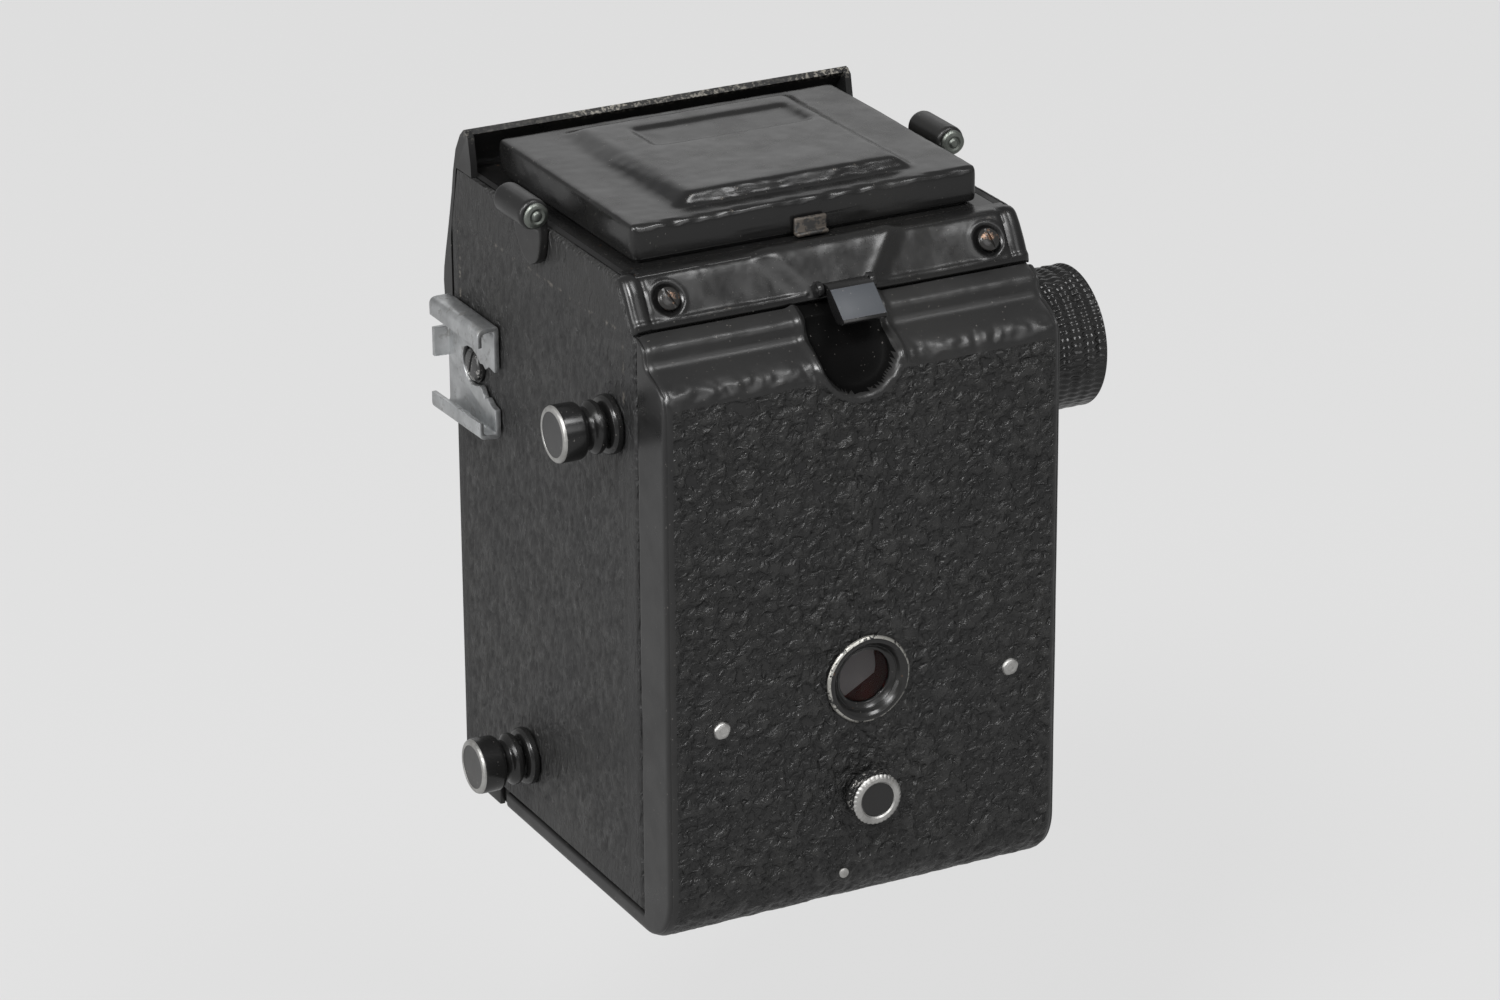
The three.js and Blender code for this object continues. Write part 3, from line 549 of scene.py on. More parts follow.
def enamel(name, base=0.012, rough=0.26, wear=None, wear_col=(0.42, 0.38, 0.33), bump=0.00003, brass=0.0, amount=1.0, above=None):
    """Black lacquer on sheet metal. wear: worn on the convex edges of a finely divided piece. above: worn in flecks above that height."""
    t = Tree(name)
    n1 = t.noise(140, 4, 0.55)
    n3 = t.noise(900, 3, 0.6)
    b0 = t.mix(t.range(t.noise(35, 3), 0.3, 0.7, 0, 1), (base * 0.7, base * 0.7, base * 0.74), (base * 1.45, base * 1.42, base * 1.36))
    speck = t.ramp(t.noise(2100, 1, 0.5), [(0.74, 0.0), (0.765, 1.0)])
    b = t.mix(t.math("MULTIPLY", speck, 0.25), b0, (0.25, 0.24, 0.22))
    r = t.range(n1, 0.3, 0.7, rough - 0.07, rough + 0.09)
    metal = None
    if brass:
        bs = t.ramp(t.noise(620, 2, 0.6), [(0.715, 0.0), (0.74, 1.0)])
        b = t.mix(t.math("MULTIPLY", bs, brass), b, (0.12, 0.06, 0.028))
    if wear is not None or above is not None:
        fleck = t.ramp(t.noise(1300, 3, 0.7), [(0.50, 0.0), (0.60, 1.0)])
        patch = t.ramp(t.noise(90, 2, 0.5), [(0.42, 0.15), (0.62, 1.0)])
        if above is not None:
            sep = t.t.nodes.new("ShaderNodeSeparateXYZ")
            t.link(t.co, sep.inputs[0])
            edge = t.range(sep.outputs[2], above, above + 0.0012, 0.0, 1.0)
        else:
            edge = t.ramp(t.point(), [(wear, 0.0), (wear + 0.045, 1.0)])
        w = t.math("MULTIPLY", t.math("MULTIPLY", edge, fleck), t.math("MULTIPLY", patch, amount), clamp=True)
        b = t.mix(w, b, wear_col)
        r = t.math("ADD", r, t.math("MULTIPLY", w, 0.12))
        metal = t.math("MULTIPLY", w, 0.6)
    t.set(base=b, rough=r, spec=0.5, normal=t.bump(t.math("ADD", n1, t.math("MULTIPLY", n3, 0.15)), bump, 0.8))
    if metal is not None:
        t.set(metal=metal)
    return t.m


def steel(name, base=0.55, rough=0.3, tint=(1, 1, 1), stretch=(1, 1, 1), dark=0.35, spots=0.3, bump=0.000012):
    t = Tree(name)
    n1 = t.noise(220, 4, 0.6)
    br = t.noise(900, 3, 0.6, 0.0, stretch=stretch)
    spot = t.ramp(t.noise(420, 3, 0.65), [(0.56, 0.0), (0.68, 1.0)])
    c1 = tuple(base * k for k in tint)
    c2 = tuple(base * 0.62 * k for k in tint)
    b = t.mix(t.range(n1, 0.3, 0.7, 0, 1), c2, c1)
    b = t.mix(t.math("MULTIPLY", spot, spots), b, (dark * 0.3, dark * 0.28, dark * 0.25))
    r = t.math("ADD", t.range(br, 0.3, 0.7, rough - 0.08, rough + 0.12), t.math("MULTIPLY", spot, 0.2))
    t.set(base=b, rough=r, metal=0.95, normal=t.bump(t.math("ADD", br, t.math("MULTIPLY", n1, 0.5)), bump, 0.7))
    return t.m


def glassy(name, col, rough=0.05, trans=1.0, ior=1.5, dust=0.15):
    t = Tree(name)
    d = t.ramp(t.noise(800, 3, 0.6), [(0.6, 0.0), (0.72, 1.0)])
    b = t.mix(t.math("MULTIPLY", d, dust), col, (0.55, 0.53, 0.5))
    t.set(base=b, rough=t.range(t.noise(350, 3), 0.3, 0.7, max(rough - 0.03, 0), rough + 0.06), trans=trans, ior=ior)
    return t.m


M_LEATHER = leatherette("leather_grain_black", 0.0105, 0.32, 1.0, (1, 1, 1), 0.0011, 2.8, 0.5)
M_LEATHER_SIDE = leatherette("leather_grain_side", 0.012, 0.45, 1.2, (1, 1, 0.42), 0.0010, 2.2, 0.6)
M_SMOOTH = moulded("moulded_smooth_black", 0.013, 0.34)
# near-black for the inside of the finger recess: darker than the smooth moulding as painted shade in the hollow
M_RECESS_SHADE = moulded("recess_black_painted_shade", 0.002, 0.55, 0.00002, 0.2, spec=0.05)
M_INSIDE = moulded("moulded_inside_matt", 0.01, 0.62, 0.00004, 0.1)
M_ENAMEL = enamel("enamel_black_gloss", 0.0095, 0.2, brass=0.5)
M_SHOULDER = enamel("enamel_black_shoulder", 0.0075, 0.27, wear=0.55, wear_col=(0.22, 0.2, 0.18), amount=0.45)
M_LID = enamel("enamel_black_lid", 0.008, 0.23, wear=0.56, amount=0.4)
M_PANEL = enamel("enamel_black_panel", 0.012, 0.3)
M_LIP = enamel("enamel_black_lip", 0.010, 0.32, above=0.1262, wear_col=(0.34, 0.32, 0.28), amount=0.75)
M_SHEET = enamel("enamel_black_matt", 0.010, 0.5)
M_LATCH = enamel("enamel_black_latch", 0.010, 0.22)
M_STEEL = steel("steel_nickel_dull", 0.5, 0.32)
M_ZINC = steel("steel_zinc_worn", 0.671, 0.36, (0.98, 1.0, 1.01), (1, 6, 1), 0.5, 0.5)
M_CHROME = steel("chrome_worn", 0.72, 0.16, spots=0.2)
M_PIN = steel("steel_green_dull", 0.22, 0.4, (0.95, 1.02, 0.93), spots=0.35)
M_RING = steel("steel_bare_worn", 0.5, 0.42, spots=0.55)
M_GREY = steel("steel_face_grey", 0.12, 0.5, spots=0.3)
M_COPPER = steel("screw_copper_worn", 0.16, 0.42, (1.0, 0.66, 0.48), spots=0.85, dark=0.06)
M_KNOB = moulded("knob_black_gloss", 0.009, 0.2, 0.00002, 0.3)
M_KNOBF = moulded("knob_face_grey", 0.04, 0.42, 0.00002, 0.4)
M_GLASS = glassy("lens_glass_clear", (0.93, 0.95, 0.95), 0.02)
M_SCREEN = glassy("screen_glass_ground", (0.8, 0.84, 0.83), 0.35, 0.6)
M_BLADE = moulded("blade_grey_painted", 0.105, 0.45, 0.00001, 0.1)
M_MIRROR = steel("mirror_silver", 0.9, 0.04, spots=0.1)
M_WHITE = moulded("engraved_white_paint", 0.62, 0.5, 0.00001, 0.0)
M_PLATE = steel("pressure_plate_blacked", 0.05, 0.4, spots=0.2, stretch=(1, 1, 8))


# ======================================================================
# grids: dense skins with real relief
# ======================================================================
def spaced(a, b, step, fine=0.12, ramp=6):
    """Positions from a to b, closer together near both ends, where the edge is rounded."""
    ends, d, p = [0.0], fine, 0.0
    for _ in range(ramp):
        p += d
        ends.append(p)
        d *= 1.28
    n = max(2, int(round((b - a - 2 * p) / step)))
    mid = [a + p + (b - a - 2 * p) * i / n for i in range(1, n)]
    return np.array([a + e for e in ends] + mid + [b - e for e in ends[::-1]])


def seg_dist(px, py, poly):
    """Distance to a closed outline, positive inside (arrays)."""
    px, py = np.asarray(px, float), np.asarray(py, float)
    d = np.full(px.shape, 1e9)
    inside = np.zeros(px.shape, bool)
    n = len(poly)
    for i in range(n):
        x0, y0 = poly[i]
        x1, y1 = poly[(i + 1) % n]
        ex, ey = x1 - x0, y1 - y0
        t = np.clip(((px - x0) * ex + (py - y0) * ey) / (ex * ex + ey * ey + 1e-12), 0, 1)
        d = np.minimum(d, np.hypot(px - x0 - t * ex, py - y0 - t * ey))
        c = (y0 > py) != (y1 > py)
        with np.errstate(divide="ignore", invalid="ignore"):
            xi = x0 + (py - y0) / (y1 - y0 + 1e-12) * ex
        inside ^= c & (px < xi)
    return np.where(inside, d, -d)


def quarter(d, r):
    """How far a rounded edge has dropped at distance d from it."""
    d = np.clip(d, 0, r)
    return r - np.sqrt(np.maximum(r * r - (r - d) ** 2, 0))


def closed_grid(A, B, caps=None):
    """Closed body from an outer and an inner grid of the same size, or an inner outline of its perimeter."""
    M, N, _ = A.shape
    ia = np.arange(M * N).reshape(M, N)
    per = list(ia[0, :]) + list(ia[1:, -1]) + list(ia[-1, -2::-1]) + list(ia[-2:0:-1, 0])
    f = [(ia[i, j], ia[i + 1, j], ia[i + 1, j + 1], ia[i, j + 1]) for i in range(M - 1) for j in range(N - 1)]
    v = list(A.reshape(-1, 3))
    if B.ndim == 3:
        off = M * N
        f += [(off + ia[i, j], off + ia[i, j + 1], off + ia[i + 1, j + 1], off + ia[i + 1, j]) for i in range(M - 1) for j in range(N - 1)]
        v += list(B.reshape(-1, 3))
        inner = [off + k for k in per]
    else:
        off = M * N
        inner = [off + k for k in range(len(per))]
        v += list(B)
        f.append(tuple(inner))
    n = len(per)
    for k in range(n):
        f.append((per[k], inner[k], inner[(k + 1) % n], per[(k + 1) % n]))
    return raw(v, f)


def perimeter(A):
    return np.concatenate([A[0, :], A[1:, -1], A[-1, -2::-1], A[-2:0:-1, 0]])


def polyfillet(pts, n=6):
    """Open polyline of (a, b, radius) with rounded corners."""
    out = []
    for i, p in enumerate(pts):
        q = np.array(p[:2], float)
        if i in (0, len(pts) - 1) or p[2] <= 0:
            out.append(q)
            continue
        a, b = np.array(pts[i - 1][:2], float), np.array(pts[i + 1][:2], float)
        u, w = a - q, b - q
        lu, lw = np.linalg.norm(u), np.linalg.norm(w)
        d = min(p[2], lu * 0.48, lw * 0.48)
        p0, p1 = q + u / lu * d, q + w / lw * d
        for k in range(n + 1):
            t = k / n
            out.append((1 - t) ** 2 * p0 + 2 * t * (1 - t) * q + t * t * p1)
    return np.array(out)


def resample(poly, step):
    """Even spacing along a polyline; step may be a function of the point."""
    seg = np.linalg.norm(np.diff(poly, axis=0), axis=1)
    s = np.concatenate([[0], np.cumsum(seg)])
    total, t, out = s[-1], 0.0, [0.0]
    while True:
        p = np.array([np.interp(t, s, poly[:, 0]), np.interp(t, s, poly[:, 1])])
        t += step(p) if callable(step) else step
        if t >= total - 0.05:
            break
        out.append(t)
    out.append(total)
    out = np.array(out)
    return np.stack([np.interp(out, s, poly[:, 0]), np.interp(out, s, poly[:, 1])], 1)


def normals2(P):
    """Right-hand normals of an open polyline."""
    t = np.gradient(P, axis=0)
    t /= np.linalg.norm(t, axis=1)[:, None] + 1e-12
    return np.stack([t[:, 1], -t[:, 0]], 1)


def wrinkle(P, seed, f=0.42, warp=1.3):
    """Relief of moulded leather grain, about -1 to 1."""
    a = grid_noise(P, f, seed, warp, 2)
    b = ridged(P, f * 1.5, seed + 3, 0.9)
    c = grid_noise(P, f * 2.9, seed + 8, 0.5, 1)
    return np.tanh(1.7 * a + 0.8 * (b - 0.62) + 0.5 * c)


# ======================================================================
# moulded body: inner structure and rounded, grained side walls
# ======================================================================
HW = 38.5
core = cad_copy("body_shell")
me = core.data
co = np.zeros(len(me.vertices) * 3, np.float32)
me.vertices.foreach_get("co", co)
co = co.reshape(-1, 3)
sel = np.abs(co[:, 0]) > 38.4
co[sel, 0] = np.sign(co[sel, 0]) * 37.55
me.vertices.foreach_set("co", co.ravel())
me.update()
done(core, "body_core", "camera_body", M_INSIDE, ["body_shell"], 32)

SIDE = [(-42.4, 3.8), (31.2, 3.8), (31.2, 110.4), (30.1, 110.9), (25.0, 118.4), (24.9, 119.8), (-38.9, 119.8), (-42.4, 106.0)]


def side_wall(sign, name):
    zs = spaced(3.8, 119.8, 0.62)
    us = spaced(0.0, 1.0, 0.0085, 0.0016)
    y0 = np.interp(zs, [0, 106, 119.8], [-42.4, -42.4, -38.9])
    y1 = np.interp(zs, [0, 110.4, 110.9, 118.4, 119.8], [31.2, 31.2, 30.1, 25.0, 24.9])
    Y = y0[:, None] + (y1 - y0)[:, None] * us[None, :]
    Z = np.repeat(zs[:, None], len(us), 1)
    d = np.maximum(seg_dist(Y, Z, SIDE), 0)
    # the front strip runs on down to the base, so its bottom edge is not rounded here
    d = np.where(Y < -27.3, np.maximum(d, np.minimum(Y + 42.4, 9)), d)
    r = 1.0
    fall = quarter(d, r)
    field = [(-39.2, 8.2), (26.8, 8.2), (26.8, 110.2), (-39.2, 110.2)]
    fd = seg_dist(Y, Z, field)
    P = np.stack([Y.ravel() + 100 * sign, np.zeros(Y.size), Z.ravel() * 0.62], 1)
    w = wrinkle(P, 2.0 + sign, 0.78, 1.0).reshape(Y.shape)
    low = grid_noise(P, 0.05, 4.0 + sign, 0, 2).reshape(Y.shape)
    m = sstep(fd, 0.1, 1.6)
    fade = np.where(Z > 100, 0.65, 1.0)
    h = m * (-0.10 + 0.20 * w * fade) + 0.10 * low * (1 - m)
    h -= 0.14 * np.exp(-((fd - 0.05) / 0.28) ** 2)          # fine line around the grained field
    # worn nicks along the top rim
    nick = sstep(Z, 118.6, 119.6) * np.clip(grid_noise(P, 0.9, 9.0, 0, 1).reshape(Y.shape), 0, 1) * 0.25
    X = HW - fall + np.minimum(h, 0.12) - nick
    A = np.stack([sign * X, Y, Z], -1)
    ring = perimeter(A).copy()
    ring[:, 0] = sign * 37.3
    ob = closed_grid(A, ring)
    paint(ob, "grain", np.clip(0.5 + 0.45 * w * m, 0, 1))
    paint(ob, "edge", np.exp(-((fd - 0.1) / 0.22) ** 2) * (Z > 95))
    return ob


for s, nm in ((1, "left"), (-1, "right")):
    ob = side_wall(s, nm)
    done(ob, "body_side_" + nm, "camera_body", M_LEATHER_SIDE, (), 50)
    foot = bevel(box(*(sorted((s * 37.4, s * HW))), -42.4, -27.3, 0.0, 4.1), 0.28, 2)
    done(foot, "body_foot_" + nm, "camera_body", M_SMOOTH, ())
# front edges of the moulding, outside the front panel
for s, nm in ((1, "left"), (-1, "right")):
    strip = prism("Z", [(s * 36.2, -42.55), (s * 37.3, -42.55), (s * 37.75, -42.3), (s * 37.75, -41.5), (s * 36.2, -41.5)], 3.0, 106.0)
    done(bevel(strip, 0.2, 2), "body_front_edge_" + nm, "camera_body", M_SMOOTH, ())

# ======================================================================
# loading door: one L-shaped skin with the grained back, the stepped shoulder
# and the finger recess, over the moulded inner tray
# ======================================================================
arcpts = [(31.9 + 10.5 * math.cos(math.radians(t)), 10.5 + 10.5 * math.sin(math.radians(t))) for t in np.linspace(0, -90, 24)]
door_pts = [(31.6, 111.45, 0), (33.0, 110.9, 0.6), (34.8, 109.8, 1.5), (35.2, 106.8, 1.4), (39.7, 104.9, 2.0), (41.8, 103.2, 2.5), (42.4, 100.2, 3.0)]
prof = polyfillet(door_pts + [(42.4, 60.0, 0)])
prof = np.concatenate([prof[:-1], np.array([(42.4, 10.5 + 0.001)]), np.array(arcpts[1:]), np.array([(-24.6, 0.0)])])
prof = resample(prof, lambda p: 0.36 if p[1] > 94 else (0.56 if p[1] > 1.0 and p[0] > 30 else 1.3))
pn = normals2(prof)          # turns outwards: +Y on the back, -Z on the base
if pn[len(pn) // 3][0] < 0:
    pn = -pn
left = spaced(-HW + 0.6, HW - 0.6, 0.56, 0.15, 5)
xs = np.unique(np.round(np.concatenate([left[(left < -9.6) | (left > 11.2)], np.arange(-9.6, 11.21, 0.33)]), 4))
RC = (0.8, 105.0, 7.45)


def recess_dist(X, Z):
    """Signed distance to the U-shaped recess, positive inside."""
    circ = RC[2] - np.hypot(X - RC[0], Z - RC[1])
    slot = np.minimum(X - (RC[0] - RC[2] + 0.05), (RC[0] + RC[2] - 0.05) - X)
    return np.where(Z > RC[1], slot, circ)


def floor_y(Z):
    k = [94, 98.5, 103.0, 107.6, 111.0, 114]
    v = [38.9, 38.7, 37.4, 34.6, 33.65, 33.4]
    return sum(np.interp(Z + o, k, v) for o in (-2.4, -1.2, 0.0, 1.2, 2.4)) / 5


XX = np.repeat(xs[None, :], len(prof), 0)
YY = np.repeat(prof[:, 0][:, None], len(xs), 1)
ZZ = np.repeat(prof[:, 1][:, None], len(xs), 1)
edge = HW - np.abs(XX)
RE = 2.0
fall = quarter(edge, RE)
S = np.concatenate([[0], np.cumsum(np.linalg.norm(np.diff(prof, axis=0), axis=1))])
SS = np.repeat(S[:, None], len(xs), 1)
Pn = np.stack([XX.ravel(), np.zeros(XX.size), -SS.ravel()], 1)
ct, st = math.cos(math.radians(28)), math.sin(math.radians(28))
# the grain runs in short slanting ridges, longer than they are wide
TILT = np.array([[0.72 * ct, 0, -st], [0, 1, 0], [0.72 * st, 0, ct]])
grain = wrinkle(Pn @ TILT, 1.0, 0.54, 1.3).reshape(XX.shape)
gl = grid_noise(Pn, 0.06, 5.0, 0, 2).reshape(XX.shape)
zmask = sstep(-ZZ, -101.6, -100.4)
base_mask = 1 - sstep(-YY, -40.5, -33.0) * (ZZ < 6)
m = zmask * base_mask * sstep(edge, 0.9, 2.4)
rd = recess_dist(XX, ZZ)
back = (YY > 30)
near = np.where(back, rd, -99.0)
m = m * (1 - sstep(near, -1.6, -0.5))
H = m * (-0.14 + 0.52 * grain) * (0.5 + 0.5 * sstep(ZZ, 1.0, 14.0)) + 0.12 * gl
# worn, lumpy convex edge above the grained field and the fainter ridge of the upper step
Plump = np.stack([XX.ravel() * 1.0, np.zeros(XX.size), ZZ.ravel()], 1)
lump = grid_noise(Plump, 0.36, 12.0, 0, 2).reshape(XX.shape)
lump2 = grid_noise(Plump, 0.6, 14.0, 0.4, 2).reshape(XX.shape)
H += (0.40 * lump + 0.42 * lump2) * np.exp(-((ZZ - 103.3) / 1.5) ** 2) * back
H += 0.14 * lump * np.exp(-((ZZ - 109.6) / 1.0) ** 2) * back
# the steps die away beside the recess and at the door's ends
rimh = np.exp(-((near + 0.75) / 0.75) ** 2) * back
H += rimh * (np.where(ZZ > 99.5, 0.62, 0.34) + 0.5 * lump2 * (ZZ < 103))
NY = np.repeat(pn[:, 0][:, None], len(xs), 1)
NZ = np.repeat(pn[:, 1][:, None], len(xs), 1)
Yd = YY + NY * (H - fall)
Zd = ZZ + NZ * (H - fall)
k = sstep(near, -0.15, 0.95)
fl = floor_y(Zd) + 0.12 + 0.12 * grid_noise(Plump, 0.3, 20.0, 0, 1).reshape(XX.shape)
fl = fl + 1.6 * np.exp(-np.clip(near - 0.3, 0, 20) / 1.6) * (1 - sstep(ZZ, 103.0, 108.0))        # dished floor
Yd = np.where(back & (near > -0.15), Yd * (1 - k) + np.minimum(Yd, fl) * k, Yd)
# window, shutter pivot, and rivet seats are shallow dimples in the grain
for (cx, cz, cr) in ((0.0, 44.9, 8.6), (-0.3, 22.9, 5.6), (28.5, 41.1, 2.4), (-28.5, 41.1, 2.4), (4.5, 8.3, 1.7)):
    dd = np.hypot(XX - cx, ZZ - cz)
    flat = (1 - sstep(dd, cr - 0.3, cr + 0.9)) * back
    Yd = np.where(back & (ZZ > 12), Yd * (1 - flat) + (42.35) * flat, Yd)
    if cr > 8:
        bore = (1 - sstep(dd, 5.6, 6.1)) * back
        Yd = Yd - 1.9 * bore
A = np.stack([XX, Yd, Zd], -1)
B = np.stack([XX, Yd - NY * 0.5, Zd - NZ * 0.5], -1)
skin = closed_grid(A, B)
paint(skin, "grain", np.clip(0.5 + 0.45 * grain * m, 0, 1))
nf = len(skin.data.polygons)
# material: grain where the mask is on, smooth elsewhere, and near-black inside the finger recess as painted shade
mi = np.zeros(nf, np.int32)
M_, N_ = XX.shape
fm = 0.25 * (m[:-1, :-1] + m[1:, :-1] + m[:-1, 1:] + m[1:, 1:])
mi[: (M_ - 1) * (N_ - 1)] = np.where(fm.ravel() > 0.45, 0, 1)
# inside the finger recess: the near-black material, painted shade
nm4 = 0.25 * (near[:-1, :-1] + near[1:, :-1] + near[:-1, 1:] + near[1:, 1:])
mi[: (M_ - 1) * (N_ - 1)] = np.where(nm4.ravel() > 0.35, 2, mi[: (M_ - 1) * (N_ - 1)])
mi[(M_ - 1) * (N_ - 1):] = 1
skin.data.polygons.foreach_set("material_index", mi)
# window opening through both faces of the skin, its edge hidden under the surround
bm = bmesh.new()
bm.from_mesh(skin.data)
gone = []
for f in bm.faces:
    c = f.calc_center_median()
    if c.y > 38.0 and math.hypot(c.x, c.z - 44.9) < 5.35:
        gone.append(f)
bmesh.ops.delete(bm, geom=gone, context="FACES")
rim = [e for e in bm.edges if e.is_boundary]
if rim:
    bmesh.ops.bridge_loops(bm, edges=rim)
loose = [v for v in bm.verts if not v.link_faces]
if loose:
    bmesh.ops.delete(bm, geom=loose, context="VERTS")
bm.to_mesh(skin.data)
bm.free()
done(skin, "door_skin", "door", [M_LEATHER, M_SMOOTH, M_RECESS_SHADE], (), 60)

# inner tray of the door
tray = cad_copy("back_door")
me = tray.data
co = np.zeros(len(me.vertices) * 3, np.float32)
me.vertices.foreach_get("co", co)
co = co.reshape(-1, 3).astype(float)
outer = [(31.9, 111.3), (34.6, 109.5), (35.4, 106.8), (39.9, 104.4), (41.4, 102.9), (42.4, 100.4)] + \
        [(31.9 + 10.5 * math.cos(math.radians(t)), 10.5 + 10.5 * math.sin(math.radians(t))) for t in np.linspace(0, -90, 9)] + [(-24.6, 0)]
for i, (x, y, z) in enumerate(co):
    best, bn = 1e9, None
    for a, b in zip(outer[:-1], outer[1:]):
        ex, ey = b[0] - a[0], b[1] - a[1]
        L = ex * ex + ey * ey
        t = min(1, max(0, ((y - a[0]) * ex + (z - a[1]) * ey) / L))
        dist = math.hypot(y - a[0] - t * ex, z - a[1] - t * ey)
        if dist < best:
            best, bn = dist, (-ey / math.sqrt(L), ex / math.sqrt(L))
    if best < 0.02:
        sgn = -1 if (bn[0] * 1.0 + 0 * bn[1]) > 0 or (abs(bn[0]) < 1e-6 and bn[1] < 0) else 1
        n = (bn[0] * sgn, bn[1] * sgn)
        co[i, 1] += n[0] * 0.42
        co[i, 2] += n[1] * 0.42
    if abs(x) > 38.4:
        co[i, 0] = math.copysign(37.4, x)
    # the floor of the finger pocket stays under the skin
    if best >= 0.02 and y > 33.0 and recess_dist(x, z) > -0.3 and z > 90:
        co[i, 1] -= 0.85
me.vertices.foreach_set("co", co.astype(np.float32).ravel())
me.update()
done(tray, "door_tray", "door", M_INSIDE, ["back_door"], 32)

# side flanges of the door
def flange(sign):
    P = prof
    Q = np.stack([np.full(len(P), 31.5), P[:, 1]], 1)
    Q[:, 0] = np.where(P[:, 1] < 10.5, np.minimum(P[:, 0], 31.5), 31.5)
    Q[:, 1] = np.maximum(Q[:, 1], 3.5)
    Q[:, 1] = np.where(P[:, 0] < 31.5, 3.5, Q[:, 1])
    ts = spaced(0.0, 1.0, 0.12, 0.02, 5)
    G = P[:, None, :] * (1 - ts)[None, :, None] + Q[:, None, :] * ts[None, :, None]
    dout = np.linalg.norm(G - P[:, None, :], axis=2)
    din = np.linalg.norm(G - Q[:, None, :], axis=2)
    e = np.minimum(0.6 + dout, 9)
    fall = np.maximum(quarter(e, RE), quarter(din, 0.6))
    Pw = np.stack([G[:, :, 0].ravel(), np.zeros(G[:, :, 0].size), G[:, :, 1].ravel()], 1)
    low = grid_noise(Pw, 0.06, 30.0 + sign, 0, 2).reshape(dout.shape)
    X = HW - fall + 0.05 * low - 0.03
    # pull the outer rim in to meet the back skin on the rounded corner
    nrm = pn
    G = G - nrm[:, None, :] * (quarter(np.full(1, 0.6), RE)[0] * np.exp(-dout / 0.5))[:, :, None]
    A = np.stack([sign * X, G[:, :, 0], G[:, :, 1]], -1)
    B = A.copy()
    B[:, :, 0] = sign * 37.2
    return closed_grid(A, B)


for s, nm in ((1, "left"), (-1, "right")):
    done(flange(s), "door_flange_" + nm, "door", M_SMOOTH, (), 50)

# exposure chamber, when the frame has it as a piece of its own
if "exposure_chamber" in NODES:
    ch = bevel(cad_copy("exposure_chamber"), 0.25, 2, 35)
    done(ch, "chamber_moulding", "camera_body", M_INSIDE, ["exposure_chamber"], 32)

# ======================================================================
# front panel with its lip, pressed bead and small screws
# ======================================================================
def arcp(cx, cy, r, a0, a1, n):
    return [(cx + r * math.cos(math.radians(a0 + (a1 - a0) * i / n)), cy + r * math.sin(math.radians(a0 + (a1 - a0) * i / n))) for i in range(n + 1)]


def rrect(x0, x1, y0, y1, r, n=6):
    return arcp(x1 - r, y0 + r, r, -90, 0, n) + arcp(x1 - r, y1 - r, r, 0, 90, n) + arcp(x0 + r, y1 - r, r, 90, 180, n) + arcp(x0 + r, y0 + r, r, 180, 270, n)


plate = prism("Y", rrect(-36, 36, 5, 93, 1.6), -43.9, -42.7)
swell_in = [(-42.6, 89), (-42.6, 106.2), (-41.6, 110.7), (-40.6, 114.8), (-39.8, 118.9), (-38.7, 122.4), (-35.1, 127.2)]
swell_out = [(-36.0, 128.0), (-37.6, 126.6), (-39.6, 123.4), (-40.9, 119.1), (-41.7, 115), (-42.7, 111), (-43.8, 106.9), (-45.0, 102.7), (-45.9, 99.2), (-46.2, 96.6), (-46.0, 94.0), (-45.2, 91.6), (-43.9, 90.2)]
upper = prism("X", swell_in + swell_out, -38.45, 38.45)
fr = [plate, upper]
for s in (1, -1):
    x0, x1 = sorted((s * 37.2, s * 38.45))
    fr.append(prism("X", [(-40.6, 119.9), (-39.6, 123.0), (-36.2, 127.7), (-35.4, 127.9), (-34.3, 127.0), (-33.4, 122.5), (-33.2, 119.9)], x0, x1))
panel = union(fr)
panel = cut(panel, [cyl("Y", 17.4, -60, -43.8, 0, 87.4, 96, 0.0), cyl("Y", 13.6, -60, -40, 0, 87.4, 96, 0.0), cyl("Y", 12.0, -60, -40, 0, 44.4, 96, 0.0),
                    prism("Y", rrect(-33.6, -22.4, 70, 83, 1.2), -44.2, -43.55), prism("Y", rrect(22.4, 33.6, 70, 83, 1.2), -44.2, -43.55)])
bevel(panel, 0.32, 3, 30)
done(panel, "front_panel_shell", "camera_body", M_LIP, ["front_panel"], 40)
# pressed bead round the panel and the vertical ribs beside the finder lens
def bead(pts, w, h, y, closed=True):
    """Low half-round moulding along a path in the XZ plane."""
    P = np.array(pts)
    n = len(P)
    t = (np.roll(P, -1, 0) - np.roll(P, 1, 0)) if closed else np.gradient(P, axis=0)
    t /= np.linalg.norm(t, axis=1)[:, None]
    nn = np.stack([t[:, 1], -t[:, 0]], 1)
    loops = []
    for k in range(8):
        a = math.pi * k / 7
        o = P + nn * (w * math.cos(a))
        loops.append([(q[0], y - h * math.sin(a), q[1]) for q in o])
    L = np.array(loops)                      # 8 x n x 3
    v = list(L.transpose(1, 0, 2).reshape(-1, 3))
    f = []
    m = n if closed else n - 1
    for i in range(m):
        for k in range(7):
            a0, b0 = i * 8 + k, ((i + 1) % n) * 8 + k
            f.append((a0, a0 + 1, b0 + 1, b0))
        a0, b0 = i * 8 + 7, ((i + 1) % n) * 8 + 7
        f.append((a0, i * 8, ((i + 1) % n) * 8, b0))
    if not closed:
        f += [tuple(range(8)), tuple(range((n - 1) * 8, n * 8))]
    return raw(v, f)


